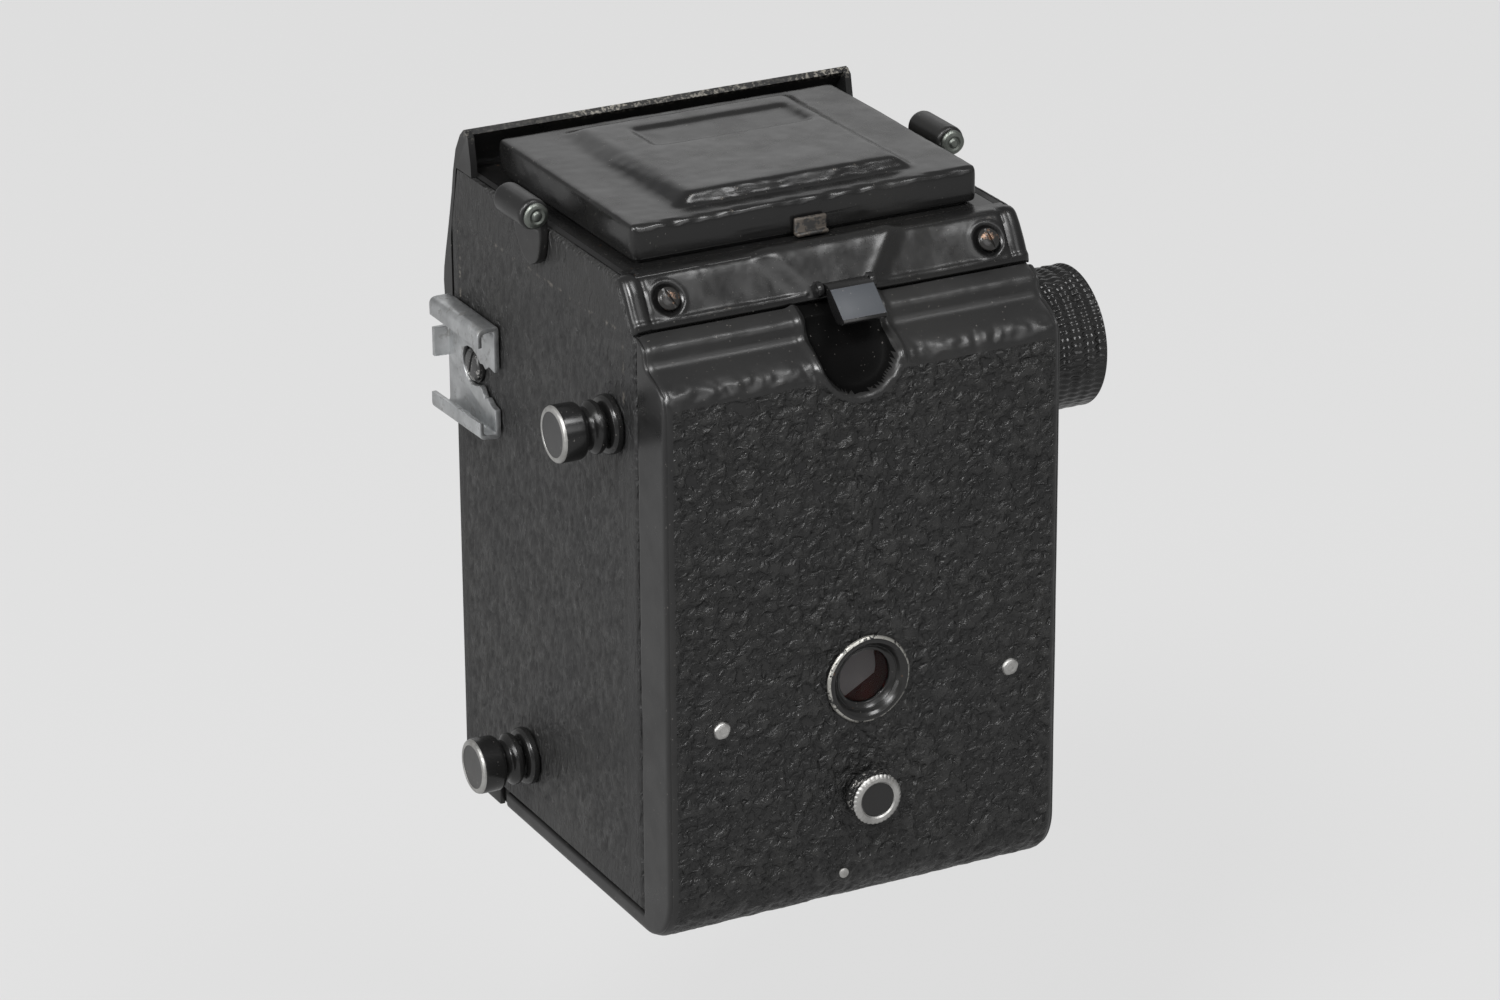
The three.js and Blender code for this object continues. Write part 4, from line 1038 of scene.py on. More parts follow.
trim = [bead(rrect(-34.6, 34.6, 6.6, 89.0, 2.4, 8), 0.45, 0.32, -43.88)]
for x in np.arange(-32.2, -23.0, 1.66):
    trim.append(bead([(x, z) for z in np.linspace(71.2, 81.8, 5)], 0.42, 0.42, -43.6, False))
    trim.append(bead([(-x, z) for z in np.linspace(71.2, 81.8, 5)], 0.42, 0.42, -43.6, False))
done(join(trim), "front_panel_beads", "camera_body", M_RING, (), 50)
scr = []
for x, z in ((-32.0, 10.0), (32.0, 10.0), (-32.0, 66.0), (32.0, 66.0)):
    s0 = lathe("Y", [[0, -43.6], [1.7, -43.6], [1.7, -44.25], [1.1, -44.6], [0, -44.7]], x, z, 40, 0.12)
    scr.append(cut(s0, [rot(box(x - 2, x + 2, -45, -44.3, z - 0.22, z + 0.22), "Y", 33 * (x + z) % 180, (x, 0, z))]))
done(join(scr), "front_panel_screws", "camera_body", M_STEEL, (), 40)

# ---- lens mounts and the shutter ------------------------------------------
def knurl(n, depth, y0, y1, r0):
    def f(th, t, rad):
        if rad < r0 - 0.3 or not (y0 < t < y1):
            return 0.0
        return -depth * (0.5 + 0.5 * math.cos(n * th))
    return f


done(lathe("Y", [[13.2, -49.7], [15.6, -49.7], [16.8, -49.1], [16.8, -47.4], [16.3, -47.2], [16.3, -46.6], [16.8, -46.4], [16.8, -44.2], [13.2, -44.2]], 0, 87.4, 128, 0.2, True),
     "viewing_tube", "camera_body", M_PANEL, ["viewing_lens_tube"])
done(lathe("Y", [[11.6, -46.0], [21.2, -46.0], [22.2, -45.9], [23.4, -45.6], [24.0, -45.0], [24.0, -44.2], [11.6, -44.2]], 0, 44.4, 128, 0.25, True),
     "shutter_case", "camera_body", M_PANEL, ["shutter_housing"])
done(lathe("Y", [[12.2, -49.8], [22.2, -49.8], [23.1, -49.65], [23.8, -49.3], [23.8, -49.0], [12.2, -49.0]], 0, 44.4, 128, 0.1, True),
     "shutter_cover", "camera_body", M_STEEL, ["shutter_face"])
done(lathe("Y", [[0, -41.6], [4, -41.45], [7, -41.1], [9.1, -40.7], [9.1, -38.9], [6, -38.3], [3, -38.05], [0, -38.0]], 0, 44.4, 64, 0.1),
     "rear_element", "camera_body", M_GLASS, ["rear_lens"])


# ---- toothed focusing rings -------------------------------------------------
def focus_ring(bore, phase, z, name, body, node):
    T, K = 40, 40 * 12
    def tooth(th):
        u = ((math.degrees(th) - phase) / (360 / T) + 0.5) % 1.0 - 0.5
        return float(np.interp(abs(u), [0.0, 0.14, 0.20, 0.30, 0.36, 0.5], [0.0, -0.05, -0.35, -1.05, -1.25, -1.3]))
    def L(r, y, toothed, inset=0.0):
        return [((r + (tooth(2 * math.pi * i / K) if toothed else 0) - inset) * math.cos(2 * math.pi * i / K), y, z + (r + (tooth(2 * math.pi * i / K) if toothed else 0) - inset) * math.sin(2 * math.pi * i / K)) for i in range(K)]
    c = bore + 4.2
    loops = [L(22.05, -50.75, True), L(22.05, -50.5, True, 0.12), L(22.05, -50.4, True, 0.4), L(19.6, -50.4, False), L(bore + 0.25, -50.4, False), L(bore, -50.6, False),
             L(bore, -55.5, False), L(bore + 0.3, -55.85, False), L(c - 1.2, -55.9, False), L(c - 0.55, -55.75, False), L(c - 0.1, -55.35, False), L(c, -54.95, False), L(c + 0.05, -54.75, False),
             L(c + 0.4, -54.6, False), L(19.6, -54.6, False), L(22.05, -54.6, True, 0.45), L(22.05, -54.5, True, 0.14), L(22.05, -54.25, True)]
    mats = [0] * len(loops)
    mats[8], mats[9] = 1, 1
    ob = loft(loops, mats, True)
    return done(ob, name, body, [M_PANEL, M_RING], [node], 32)


focus_ring(11.6, 90, 44.4, "taking_ring_toothed", "taking_ring", "taking_focus_ring")
focus_ring(13.6, 270 + 4.5, 87.4, "viewing_ring_toothed", "viewing_ring", "viewing_focus_ring")
done(lathe("Y", [[0, -55.0], [3, -54.9], [6.5, -54.55], [9, -54.0], [10.6, -53.45], [10.6, -52.2], [6, -51.3], [3, -51.05], [0, -51.0]], 0, 44.4, 72, 0.08),
     "taking_glass", "taking_ring", M_GLASS, ["taking_front_glass"])
done(lathe("Y", [[10.4, -53.9], [11.1, -53.95], [11.5, -53.6], [11.5, -51.9], [10.75, -51.9], [10.7, -53.3]], 0, 44.4, 72, 0.1, True),
     "taking_glass_retainer", "taking_ring", M_STEEL, ())
done(lathe("Y", [[0, -55.3], [4, -55.15], [8, -54.65], [11, -53.95], [12.5, -53.4], [12.5, -52.1], [8, -51.3], [4, -50.95], [0, -50.8]], 0, 87.4, 72, 0.08),
     "viewing_glass", "viewing_ring", M_GLASS, ["viewing_front_glass"])
done(lathe("Y", [[12.3, -53.9], [13.0, -53.95], [13.45, -53.6], [13.45, -51.9], [12.7, -51.9], [12.6, -53.3]], 0, 87.4, 72, 0.1, True),
     "viewing_glass_retainer", "viewing_ring", M_STEEL, ())
# shutter blades seen through the taking lens
bl = []
for i in range(5):
    a = 72 * i
    bl.append(rot(prism("Y", [(-0.6, 0.2), (8.6, -3.4), (9.3, 2.6), (5.0, 6.6), (0.2, 1.4)], -47.6 + 0.05 * i, -47.52 + 0.05 * i), "Y", a, (0, 0, 0)))
bl = join(bl)
move(bl, 0, 0, 44.4)
done(bl, "shutter_blades", "camera_body", M_PLATE, ())


# distance figures on the viewing ring, engraved and filled with paint
def digits(text, size, M, depth=0.05):
    cu = bpy.data.curves.new("t", "FONT")
    cu.body = text
    cu.size = size
    cu.align_x, cu.align_y = "CENTER", "CENTER"
    cu.extrude = depth
    cu.resolution_u = 3
    o = bpy.data.objects.new("t", cu)
    SCN.collection.objects.link(o)
    dg = bpy.context.evaluated_depsgraph_get()
    me = bpy.data.meshes.new_from_object(o.evaluated_get(dg))
    bpy.data.objects.remove(o)
    ob = bpy.data.objects.new("m", me)
    SCN.collection.objects.link(ob)
    me.transform(M)
    return ob


marks = []
for i, t in enumerate(["1.4", "2", "2.5", "3", "4", "6", "10", "20"]):
    a = math.radians(90 + 18 + i * 34)
    r = 19.15
    # text stands on the ring's front face, feet towards the axis
    M = Matrix.Translation((r * math.cos(a), -54.62, 87.4 + r * math.sin(a))) @ Matrix.Rotation(-(a - math.pi / 2), 4, "Y") @ Matrix.Rotation(math.pi / 2, 4, "X")
    marks.append(digits(t, 2.1, M))
for i in range(24):
    a = math.radians(90 + 18 + i * 34 / 3)
    m1 = box(-0.09, 0.09, -54.66, -54.5, 17.95, 18.25)
    transform(m1, Matrix.Translation((0, 0, 87.4)) @ Matrix.Rotation(-(a - math.pi / 2), 4, "Y"))
    marks.append(m1)
done(join(marks), "distance_figures", "viewing_ring", M_WHITE, ())
marks = []
for i, t in enumerate(["4.5", "5.6", "8", "11", "16", "22"]):
    a = math.radians(270 - 30 + i * 12 + 0)
    M = Matrix.Translation((24.4 * math.cos(a), -43.93, 44.4 + 25.9 * math.sin(a))) @ Matrix.Rotation(math.pi / 2, 4, "X")
    marks.append(digits(t, 2.0, M))
for i, t in enumerate(["250", "125", "60", "30", "15", "B"]):
    a = math.radians(158 + i * 13)
    M = Matrix.Translation((27.4 * math.cos(a), -43.93, 44.4 + 26.4 * math.sin(a))) @ Matrix.Rotation(math.pi / 2, 4, "X")
    marks.append(digits(t, 2.0, M))
done(join(marks), "exposure_figures", "camera_body", M_WHITE, ())


# ---- levers ------------------------------------------------------------------
def ring_lever(y0, y1, ang, r0, reach, tab, name, body, node):
    a = [lathe("Y", [[12.6, y0], [r0, y0], [r0, y1], [12.6, y1]], 0, 0, 96, 0.05, True), box(r0 - 3, reach, y0, y1, -1.9, 1.9), cyl("Y", 1.9, y0, y1, reach, 0, 32, 0.0)]
    a.append(box(reach - 0.5, reach + 1.75, y0 - tab, y1, -1.95, 1.95))
    for k in range(5):
        a.append(box(reach - 0.7, reach + 1.9, y0 - tab * 0.92, y0 - 0.1, -1.75 + k * 0.8, -1.45 + k * 0.8))
    o = union(a)
    bevel(o, 0.1, 2, 30, clamp=True)
    rot(o, "Y", -ang)
    move(o, 0, 0, 44.4)
    return done(o, name, body, M_STEEL, [node], 35)


ring_lever(-46.9, -46.3, 24, 21.5, 28.0, 4.0, "lever_cocking", "cocking", "cocking_lever")
ring_lever(-47.8, -47.2, 200, 21.5, 27.0, 2.0, "lever_speed", "speed", "speed_lever")
ring_lever(-48.7, -48.1, 280, 21.5, 26.5, 0.8, "lever_aperture", "aperture", "aperture_lever")


def stud_lever(x, z, ang, length, tab, name, body, node):
    a = [cyl("Y", 2.6, -45.8, -44.2, 0, 0, 40, 0.15), box(0, length, -45.6, -44.4, -1.5, 1.5), cyl("Y", 1.6, -45.6, -44.4, length, 0, 32, 0.1),
         cyl("Y", 1.2, -45.6 - tab, -44.4, length, 0, 32, 0.25)]
    o = union(a)
    o = cut(o, [box(-2.0, 2.0, -46, -45.5, -0.25, 0.25)])
    bevel(o, 0.1, 2, 32)
    rot(o, "Y", -ang)
    move(o, x, 0, z)
    return done(o, name, body, M_STEEL, [node], 35)


stud_lever(31.5, 28.0, -75, 9.0, 2.5, "lever_release", "release", "shutter_release_lever")
stud_lever(-30.5, 25.0, -80, 9.0, 3.0, "lever_self_timer", "self_timer", "self_timer_lever")
done(lathe("Y", [[0, -46.0], [1.2, -46.0], [1.2, -49.1], [1.6, -49.5], [2.6, -49.5], [2.6, -48.6], [2.35, -48.4], [2.35, -46.4], [2.6, -46.2], [2.6, -45.6], [3.4, -45.6], [3.4, -44.2], [0, -44.2]], -29.5, 64.0, 56, 0.08),
     "flash_contact", "camera_body", M_CHROME, ["flash_socket"])


# ======================================================================
# worn finishes used on the small metal pieces
# ======================================================================
def broken(name, under, over, share=0.5, scale=900.0, rough_under=0.35, rough_over=0.25, metal=0.85):
    """Black lacquer worn through in broken patches to bare metal."""
    t = Tree(name)
    n = t.noise(scale, 4, 0.65)
    w = t.ramp(n, [(0.5 - 0.12 * (share - 0.5) * 4 - 0.02, 0.0), (0.5 - 0.12 * (share - 0.5) * 4 + 0.03, 1.0)])
    tone = t.range(t.noise(240, 3), 0.3, 0.7, 0.75, 1.2)
    b = t.mix(w, tuple(over), tuple(under))
    t.set(base=t.mix(t.math("MULTIPLY", tone, 0.12), b, (0.05, 0.05, 0.05)), rough=t.range(w, 0, 1, rough_over, rough_under), metal=t.math("MULTIPLY", w, metal),
          normal=t.bump(t.math("ADD", w, t.noise(300, 3)), 0.00004, 0.7))
    return t.m


M_WORNRIM = broken("lacquer_worn_rim", (0.55, 0.54, 0.5), (0.012, 0.012, 0.012), 0.6)
M_FLANK = broken("knurl_worn", (0.4, 0.39, 0.37), (0.012, 0.012, 0.012), 0.36, 1100)
M_NICKEL = steel("steel_satin_grey", 0.56, 0.42, (1.0, 0.99, 0.96), spots=0.35, dark=0.5)
# lighter blue-grey on black lacquer for the latch face turned up and back: a painted reflection
M_LATCH_REFLECTION = moulded("latch_face_painted_reflection", 0.050, 0.5, 0.00002, 0.3, (0.9, 1.0, 1.16))
M_LUG = enamel("enamel_black_lug", 0.008, 0.34, wear=0.56, wear_col=(0.2, 0.19, 0.17), amount=0.5)
M_SCREWH = broken("screw_lacquer_worn", (0.24, 0.155, 0.11), (0.016, 0.015, 0.014), 0.34, 420)
M_DARKFACE = moulded("knob_centre_black", 0.010, 0.22, 0.00002, 0.4)

# ======================================================================
# hood base: shelf, pressed shoulder, rim and ears
# ======================================================================
shelf = prism("Z", rrect(-37.5, 37.5, -38.3, 26.2, 1.2), 118.75, 119.75)
shelf = cut(shelf, [prism("Z", rrect(-26.4, 26.4, -27.5, 16.2, 1.0), 118, 121)])
done(bevel(shelf, 0.25, 3, 35), "hood_shelf", "camera_body", M_ENAMEL, ["hood_base"], 40)
sp = polyfillet([(22.5, 119.85, 0), (26.0, 119.85, 1.3), (27.6, 118.0, 1.6), (31.5, 111.8, 0)])
sp = resample(sp, 0.26)
sn = normals2(sp)
if sn[len(sn) // 2][0] < 0:
    sn = -sn
sx = spaced(-38.45, 38.45, 0.42, 0.12, 5)
SX = np.repeat(sx[None, :], len(sp), 0)
SY = np.repeat(sp[:, 0][:, None], len(sx), 1)
SZ = np.repeat(sp[:, 1][:, None], len(sx), 1)
SA = np.repeat(np.concatenate([[0], np.cumsum(np.linalg.norm(np.diff(sp, axis=0), axis=1))])[:, None], len(sx), 1)
s_screw = float(np.interp(-115.95, -sp[:, 1], SA[:, 0]))
PS = np.stack([SX.ravel(), SY.ravel() * 1.0, SZ.ravel()], 1)
soft = grid_noise(PS, 0.11, 41.0, 0, 2).reshape(SX.shape)
fine = grid_noise(PS, 0.6, 42.0, 0, 2).reshape(SX.shape)
c0 = SX + 0.9
hw = 7.0 + np.clip(SZ - 112.5, 0, 8) * 0.95
flank = np.abs(c0) - hw
fadetop = sstep(SY, 23.4, 25.6)
hump = (1 - sstep(flank, -3.2, 2.2)) * 0.8
ridge = 0.22 * np.exp(-((flank + 1.8) / 1.5) ** 2) * (SX < 0)
HS = (hump + ridge) * fadetop
HS += 0.34 * soft * fadetop + 0.04 * fine
for cx in (31.0, -31.0):
    dd = np.hypot(SX - cx, SA - s_screw)
    HS += -0.55 * (1 - sstep(dd, 2.15, 2.9)) + 0.16 * np.exp(-((dd - 3.2) / 0.4) ** 2)
ax = np.abs(SX)
HS += -0.30 * np.exp(-((ax - 34.9) / 0.35) ** 2) * fadetop + 0.32 * sstep(ax, 35.1, 36.2) * fadetop
HS -= quarter(38.45 - ax, 1.6)
HS -= quarter(SA[-1, 0] - SA, 0.5)
HS += 0.28 * np.exp(-((SA - (SA[-1, 0] - 1.2)) / 0.5) ** 2) * (np.abs(c0) > 6.5)      # turned edge above the door
NSY = np.repeat(sn[:, 0][:, None], len(sx), 1)
NSZ = np.repeat(sn[:, 1][:, None], len(sx), 1)
A = np.stack([SX, SY + NSY * HS, SZ + NSZ * HS], -1)
B = np.stack([SX, SY - NSY * 1.3, SZ - NSZ * 1.3], -1)
done(closed_grid(A, B), "hood_shoulder", "camera_body", M_SHOULDER, (), 60)

rim = prism("Z", rrect(-32.1, 32.1, -27.6, 19.7, 1.5), 119.6, 120.7)
rim = cut(rim, [prism("Z", rrect(-31.5, 31.5, -27.0, 19.1, 1.2), 119, 121)])
done(bevel(rim, 0.14, 2, 35), "hood_rim", "camera_body", M_SHEET, (), 40)
ears = []
for s in (1, -1):
    x0, x1 = sorted((s * 29.6, s * 31.4))
    e = prism("X", [tuple(p) for p in polyfillet([(-32.0, 119.5, 0), (-31.6, 123.7, 1.0), (-30.7, 124.7, 0.8), (-28.5, 124.7, 0.8), (-27.7, 123.7, 1.0), (-27.5, 119.5, 0)], 4)], x0, x1)
    e = cut(e, [cyl("X", 1.0, -40, 40, -29.6, 123.0, 32, 0)])
    ears.append(bevel(e, 0.15, 2, 40))
done(join(ears), "hood_hinge_ears", "camera_body", M_SHEET, (), 40)
ears = []
for x0 in (3.6, -6.5):
    e = union([prism("X", [(30.0, 113.2), (31.6, 115.3), (32.9, 114.0), (31.6, 112.7), (30.6, 112.2)], x0, x0 + 1.1), cyl("X", 1.35, x0, x0 + 1.1, 32.4, 114.0, 32, 0.1)])
    ears.append(bevel(e, 0.12, 2, 32))
done(join(ears), "latch_ears", "camera_body", M_ENAMEL, (), 40)
done(bevel(cad_copy("lid_hinge_pin"), 0.1, 2, 60), "hood_hinge_pin", "camera_body", M_STEEL, ["lid_hinge_pin"], 40)
for nm, x, turn in (("left", 31.0, 24), ("right", -31.0, 12)):
    s0 = lathe("Y", [[0, -1.9], [1.1, -1.9], [1.1, 0.3], [2.0, 0.3], [2.05, 0.75], [1.6, 1.15], [0.9, 1.32], [0, 1.38]], 0, 0, 48, 0.15)
    s0 = cut(s0, [box(-0.28, 0.28, 0.85, 2, -3, 3)])
    bevel(s0, 0.07, 2, 35)
    rot(s0, "Y", turn)
    rot(s0, "X", 32.8)
    move(s0, x, 28.75, 115.82)
    done(s0, "hood_screw_head_" + nm, "camera_body", M_SCREWH, ["hood_screw_" + nm], 35)

# ---- strap lugs ----------------------------------------------------------
for nm, s in (("left", 1), ("right", -1)):
    x0, x1 = sorted((s * 38.65, s * 40.3))
    outline = polyfillet([(-12.4, 123.1, 0), (-11.8, 117.4, 1.6), (-8.8, 113.6, 2.0), (-6.0, 112.4, 1.6), (-2.4, 114.2, 2.0), (-1.4, 118.0, 1.0), (-1.4, 123.1, 0)], 6)
    a = prism("X", [tuple(p) for p in outline], x0, x1)
    b = lathe("Y", [[0, -13.0], [2.3, -13.0], [2.8, -12.5], [2.8, -2.3], [2.5, -1.75], [0, -1.75]], s * 41.0, 123.1, 56, 0.3)
    g = prism("Y", [(s * 38.7, 120.0), (s * 40.0, 120.0), (s * 42.6, 121.3), (s * 42.0, 125.2), (s * 39.4, 125.2), (s * 38.7, 123.0)], -12.6, -2.0)
    lug = join([a, b, g])
    lug = soften(lug, 0.22, 5)
    lug = cut(lug, [cyl("Y", 1.75, -14, 0, s * 41.0, 123.1, 48, 0)])
    done(lug, "strap_lug_body_" + nm, "camera_body", M_LUG, ["strap_lug_" + nm], 40)
    p0 = lathe("Y", [[0, -13.4], [1.2, -13.4], [1.6, -13.0], [1.6, -1.75], [2.25, -1.55], [2.3, -1.1], [1.95, -0.75], [1.4, -0.6], [0.95, -0.85], [0.6, -0.5], [0, -0.4]], s * 41.0, 123.1, 48, 0.1,
               mod=lambda th, t, rad: 0.07 * math.sin(3 * th + 2 * t) if rad > 1.7 else 0.0)
    done(p0, "strap_pin_end_" + nm, "camera_body", M_PIN, ["strap_pin_" + nm], 40)

# ---- accessory shoe --------------------------------------------------------
op = polyfillet([(43.35, 77.5, 0), (43.45, 74.3, 1.3), (38.75, 74.25, 1.1), (38.75, 95.6, 1.1), (43.45, 95.6, 1.5), (43.35, 92.2, 0)], 6)
ip = polyfillet([(42.45, 92.2, 0), (42.45, 94.65, 0.7), (39.8, 94.65, 0.5), (39.8, 75.25, 0.5), (42.45, 75.25, 0.7), (42.45, 77.5, 0)], 5)
shoe = prism("Y", [tuple(p) for p in op] + [tuple(p) for p in ip], -42.0, -22.5)
cutter = prism("X", [(-21.0, 79.6), (-24.2, 79.9), (-26.0, 80.9), (-27.0, 80.5), (-28.4, 82.0), (-29.1, 82.2), (-30.4, 81.7), (-32.6, 81.3), (-34.4, 82.3), (-35.9, 84.3), (-36.1, 86.0), (-35.3, 87.6),
                     (-33.9, 88.3), (-31.9, 88.4), (-30.2, 87.8), (-28.6, 86.6), (-27.3, 86.8), (-26.3, 86.2), (-24.8, 87.2), (-21.0, 86.6)], 38.0, 40.6)
shoe = cut(shoe, [cutter])
# rear ends of the rails bend in a little
tabs = []
for z0, z1 in ((84.0, 89.5),):
    tabs.append(prism("Z", [(38.75, -42.9), (38.75, -41.0), (39.8, -41.0), (39.8, -41.7), (42.6, -41.9), (42.6, -42.9)], z0, z1))
shoe = union([shoe] + tabs)
bevel(shoe, 0.13, 2, 35)
for v in shoe.data.vertices:
    x, y, z = v.co
    w = max(0.0, (y + 27.0) / 4.5)
    v.co.x = x - 0.5 * w * max(0, (x - 40.0) / 3.5) + 0.05 * mn.noise((y * 0.3, z * 0.2, x * 0.4))
    v.co.z = z + (0.35 * w * w * (1 if z < 85 else -1)) * max(0, (x - 40.5) / 3) + 0.05 * mn.noise((y * 0.25, x * 0.3, z * 0.3 + 7))
shoe.data.update()
done(shoe, "shoe_rails", "camera_body", M_ZINC, ["accessory_shoe"], 38)
patch = prism("X", arcp(-32.5, 85.0, 3.3, 0, 351, 39), 38.52, 38.95)
sc = lathe("X", [[0, 36.4], [1.5, 36.4], [1.5, 38.85], [2.9, 38.85], [2.95, 39.45], [2.4, 39.8], [1.2, 39.92], [0, 39.95]], -32.5, 85.0, 48, 0.14)
sc = cut(sc, [transform(box(39.4, 41, -0.34, 0.34, -4, 4), Matrix.Translation((0, -32.5, 85.0)) @ Matrix.Rotation(math.radians(-18), 4, "X"))])
bevel(sc, 0.07, 2, 35)
done(patch, "shoe_seat", "camera_body", M_SMOOTH, (), 40)
done(sc, "shoe_screw_head", "camera_body", broken("screw_dark_worn", (0.5, 0.49, 0.47), (0.03, 0.03, 0.03), 0.36, 520), ["shoe_screw"], 35)

# ---- base, bearings, guides -------------------------------------------------
def copy_of(node, name, mat, w=0.15, body="camera_body"):
    return done(bevel(cad_copy(node), w, 2, 35), name, body, mat, [node], 35)


done(lathe("Z", [[4.4, 0.0], [4.7, 0.35], [4.4, 0.6], [4.7, 0.9], [4.4, 1.2], [4.7, 1.5], [4.4, 1.8], [4.7, 2.1], [4.4, 2.4], [4.7, 2.7], [4.4, 3.7], [6.0, 3.7], [6.0, 0.0]], 0.0, -35.8, 64, 0.05, True),
     "tripod_thread", "camera_body", M_CHROME, ["tripod_bush"], 40)
for nm, node, a, b in (("upper", "upper_knob_bush", 22.0, 92.5), ("lower", "lower_knob_bush", -14.5, 15.4)):
    done(lathe("X", [[2.5, 34], [4.6, 34], [4.6, 38.6], [5.1, 38.6], [5.3, 38.9], [5.25, 39.8], [4.9, 40.3], [4.4, 40.45], [3.6, 40.5], [2.5, 40.4]], a, b, 64, 0.15, True), "knob_bearing_" + nm, "camera_body", M_KNOB, [node], 40)
done(lathe("X", [[2.5, -40.3], [7.6, -40.3], [7.9, -39.8], [7.9, -38.8], [4.6, -38.8], [4.6, -34], [2.5, -34]], 22.0, 92.5, 64, 0.15, True), "winding_bearing", "camera_body", M_KNOB, ["winding_bush"], 40)
for node in ("film_guide_upper", "film_guide_lower", "door_hinge_pin"):
    if node in NODES:
        bd = NODES[node]["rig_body"]
        copy_of(node, node + "_turned", M_STEEL, 0.12, bd)

# ---- viewfinder: mirror, ground glass ----------------------------------------
copy_of("mirror", "mirror_plate", M_MIRROR, 0.1)
scrn = cad_copy("focusing_screen")
done(bevel(scrn, 0.15, 2, 30), "ground_glass", "camera_body", M_SCREEN, ["focusing_screen"], 30)

# ======================================================================
# door fittings
# ======================================================================
copy_of("pressure_plate", "pressure_plate_pressed", M_PLATE, 0.2, "door")
for nm in ("left", "right"):
    copy_of("pressure_spring_" + nm, "plate_spring_" + nm, M_STEEL, 0.08, "door")
for nm, x in (("left", 28.5), ("right", -28.5)):
    r0 = lathe("Y", [[0, 38.1], [1.9, 38.1], [1.9, 38.75], [1, 38.75], [1, 42.2], [1.5, 42.3], [1.6, 42.7], [1.4, 43.1], [0.9, 43.3], [0.45, 43.15], [0, 43.3]], x, 41.1, 40, 0.1,
               mod=lambda th, t, rad: 0.06 * math.sin(2 * th + x) + 0.04 * math.sin(5 * th) if t > 42.3 and rad > 0.8 else 0.0)
    done(r0, "rivet_head_" + nm, "door", M_NICKEL, ["door_rivet_" + nm], 35)
done(lathe("Y", [[0, 39.6], [0.75, 39.6], [0.75, 42.1], [0.95, 42.2], [0.9, 42.5], [0.5, 42.65], [0, 42.7]], 4.5, 8.3, 32, 0.08), "rivet_head_base", "door", M_NICKEL, ["door_rivet_base"], 35)
done(lathe("Y", [[4.95, 40.3, 0], [5.9, 40.3, 0], [5.9, 42.3, 0], [8.0, 42.3, 0], [8.15, 42.75, 1], [8.0, 43.15, 1], [7.72, 43.36, 0], [7.4, 43.5, 0], [6.9, 43.4, 0], [6.4, 42.9, 0], [5.9, 42.1, 0], [5.4, 41.65, 0], [4.95, 41.5, 0]],
           0, 44.9, 96, 0.12, True, mod=lambda th, t, rad: 0.05 * math.sin(4 * th + 1) + 0.03 * math.sin(9 * th) if rad > 7.2 else 0.0),
     "window_surround", "door", [M_ENAMEL, M_WORNRIM], ["window_bezel"], 50)
done(lathe("Y", [[0, 40.6], [4.7, 40.6], [4.88, 40.8], [4.88, 41.2], [4.6, 41.4], [2.4, 41.6], [0, 41.65]], 0, 44.9, 64, 0.1), "window_cover_glass", "door", glassy("window_glass_clear", (0.93, 0.9, 0.9), 0.03, ior=1.2, dust=0.0), ["window_glass"], 35)
done(cyl("Y", 7.6, 37.1, 37.7, 0, 44.9, 64, 0.12), "window_red_filter", "door", moulded("window_red_celluloid", 0.03, 0.3, 0.00001, 0.0, (1.0, 0.06, 0.03), 0.08), (), 35)

bl = union([cyl("Y", 6.6, 38.5, 39.1, 0.0, 23.2, 72, 0.08), box(-2.6, 2.6, 38.5, 39.1, 0.0, 20.0), cyl("Y", 4.0, 38.5, 39.1, 0.0, 0.0, 48, 0.08)])
bl = cut(bl, [cyl("Y", 1.85, 38, 40, 0.0, 0.0, 40, 0.0)])
bevel(bl, 0.08, 2, 35)
rot(bl, "Y", 9.0)
move(bl, -0.3, 0.0, 22.9)
notch = box(-9.0, 5.0, 38.0, 40.5, -6.0, 0.0)
rot(notch, "Y", 30.0)
move(notch, -1.5, 0.0, 43.2)
bl = cut(bl, [notch])
done(bl, "window_blade", "window_shutter", M_BLADE, ["window_shutter_blade"], 35)


def knob_side(th, t, rad):
    if rad < 4.4 or t < 43.0 or t > 46.0:
        return 0.0
    return -0.2 * (0.5 + 0.5 * math.cos(34 * th)) * (1.0 if int((t - 43.0) / 0.95) % 2 else 0.55)
kp = [[0, 38.4, 0], [1.6, 38.4, 0], [1.6, 42.6, 0], [4.1, 42.6, 0], [4.75, 43.05, 0], [4.8, 43.5, 0], [4.75, 43.9, 0], [4.7, 44.0, 0], [4.8, 44.4, 0], [4.8, 44.85, 0], [4.7, 44.95, 0], [4.8, 45.3, 0], [4.75, 45.65, 1],
      [4.45, 45.95, 1], [4.0, 46.15, 1], [3.5, 46.15, 1], [3.25, 45.9, 2], [3.0, 45.75, 2], [1.5, 45.8, 2], [0, 45.82, 2]]
done(lathe("Y", kp, -0.3, 22.9, 170, 0.05, mod=knob_side), "window_shutter_button", "window_shutter", [M_FLANK, M_NICKEL, M_DARKFACE], ["window_shutter_knob"], 40)

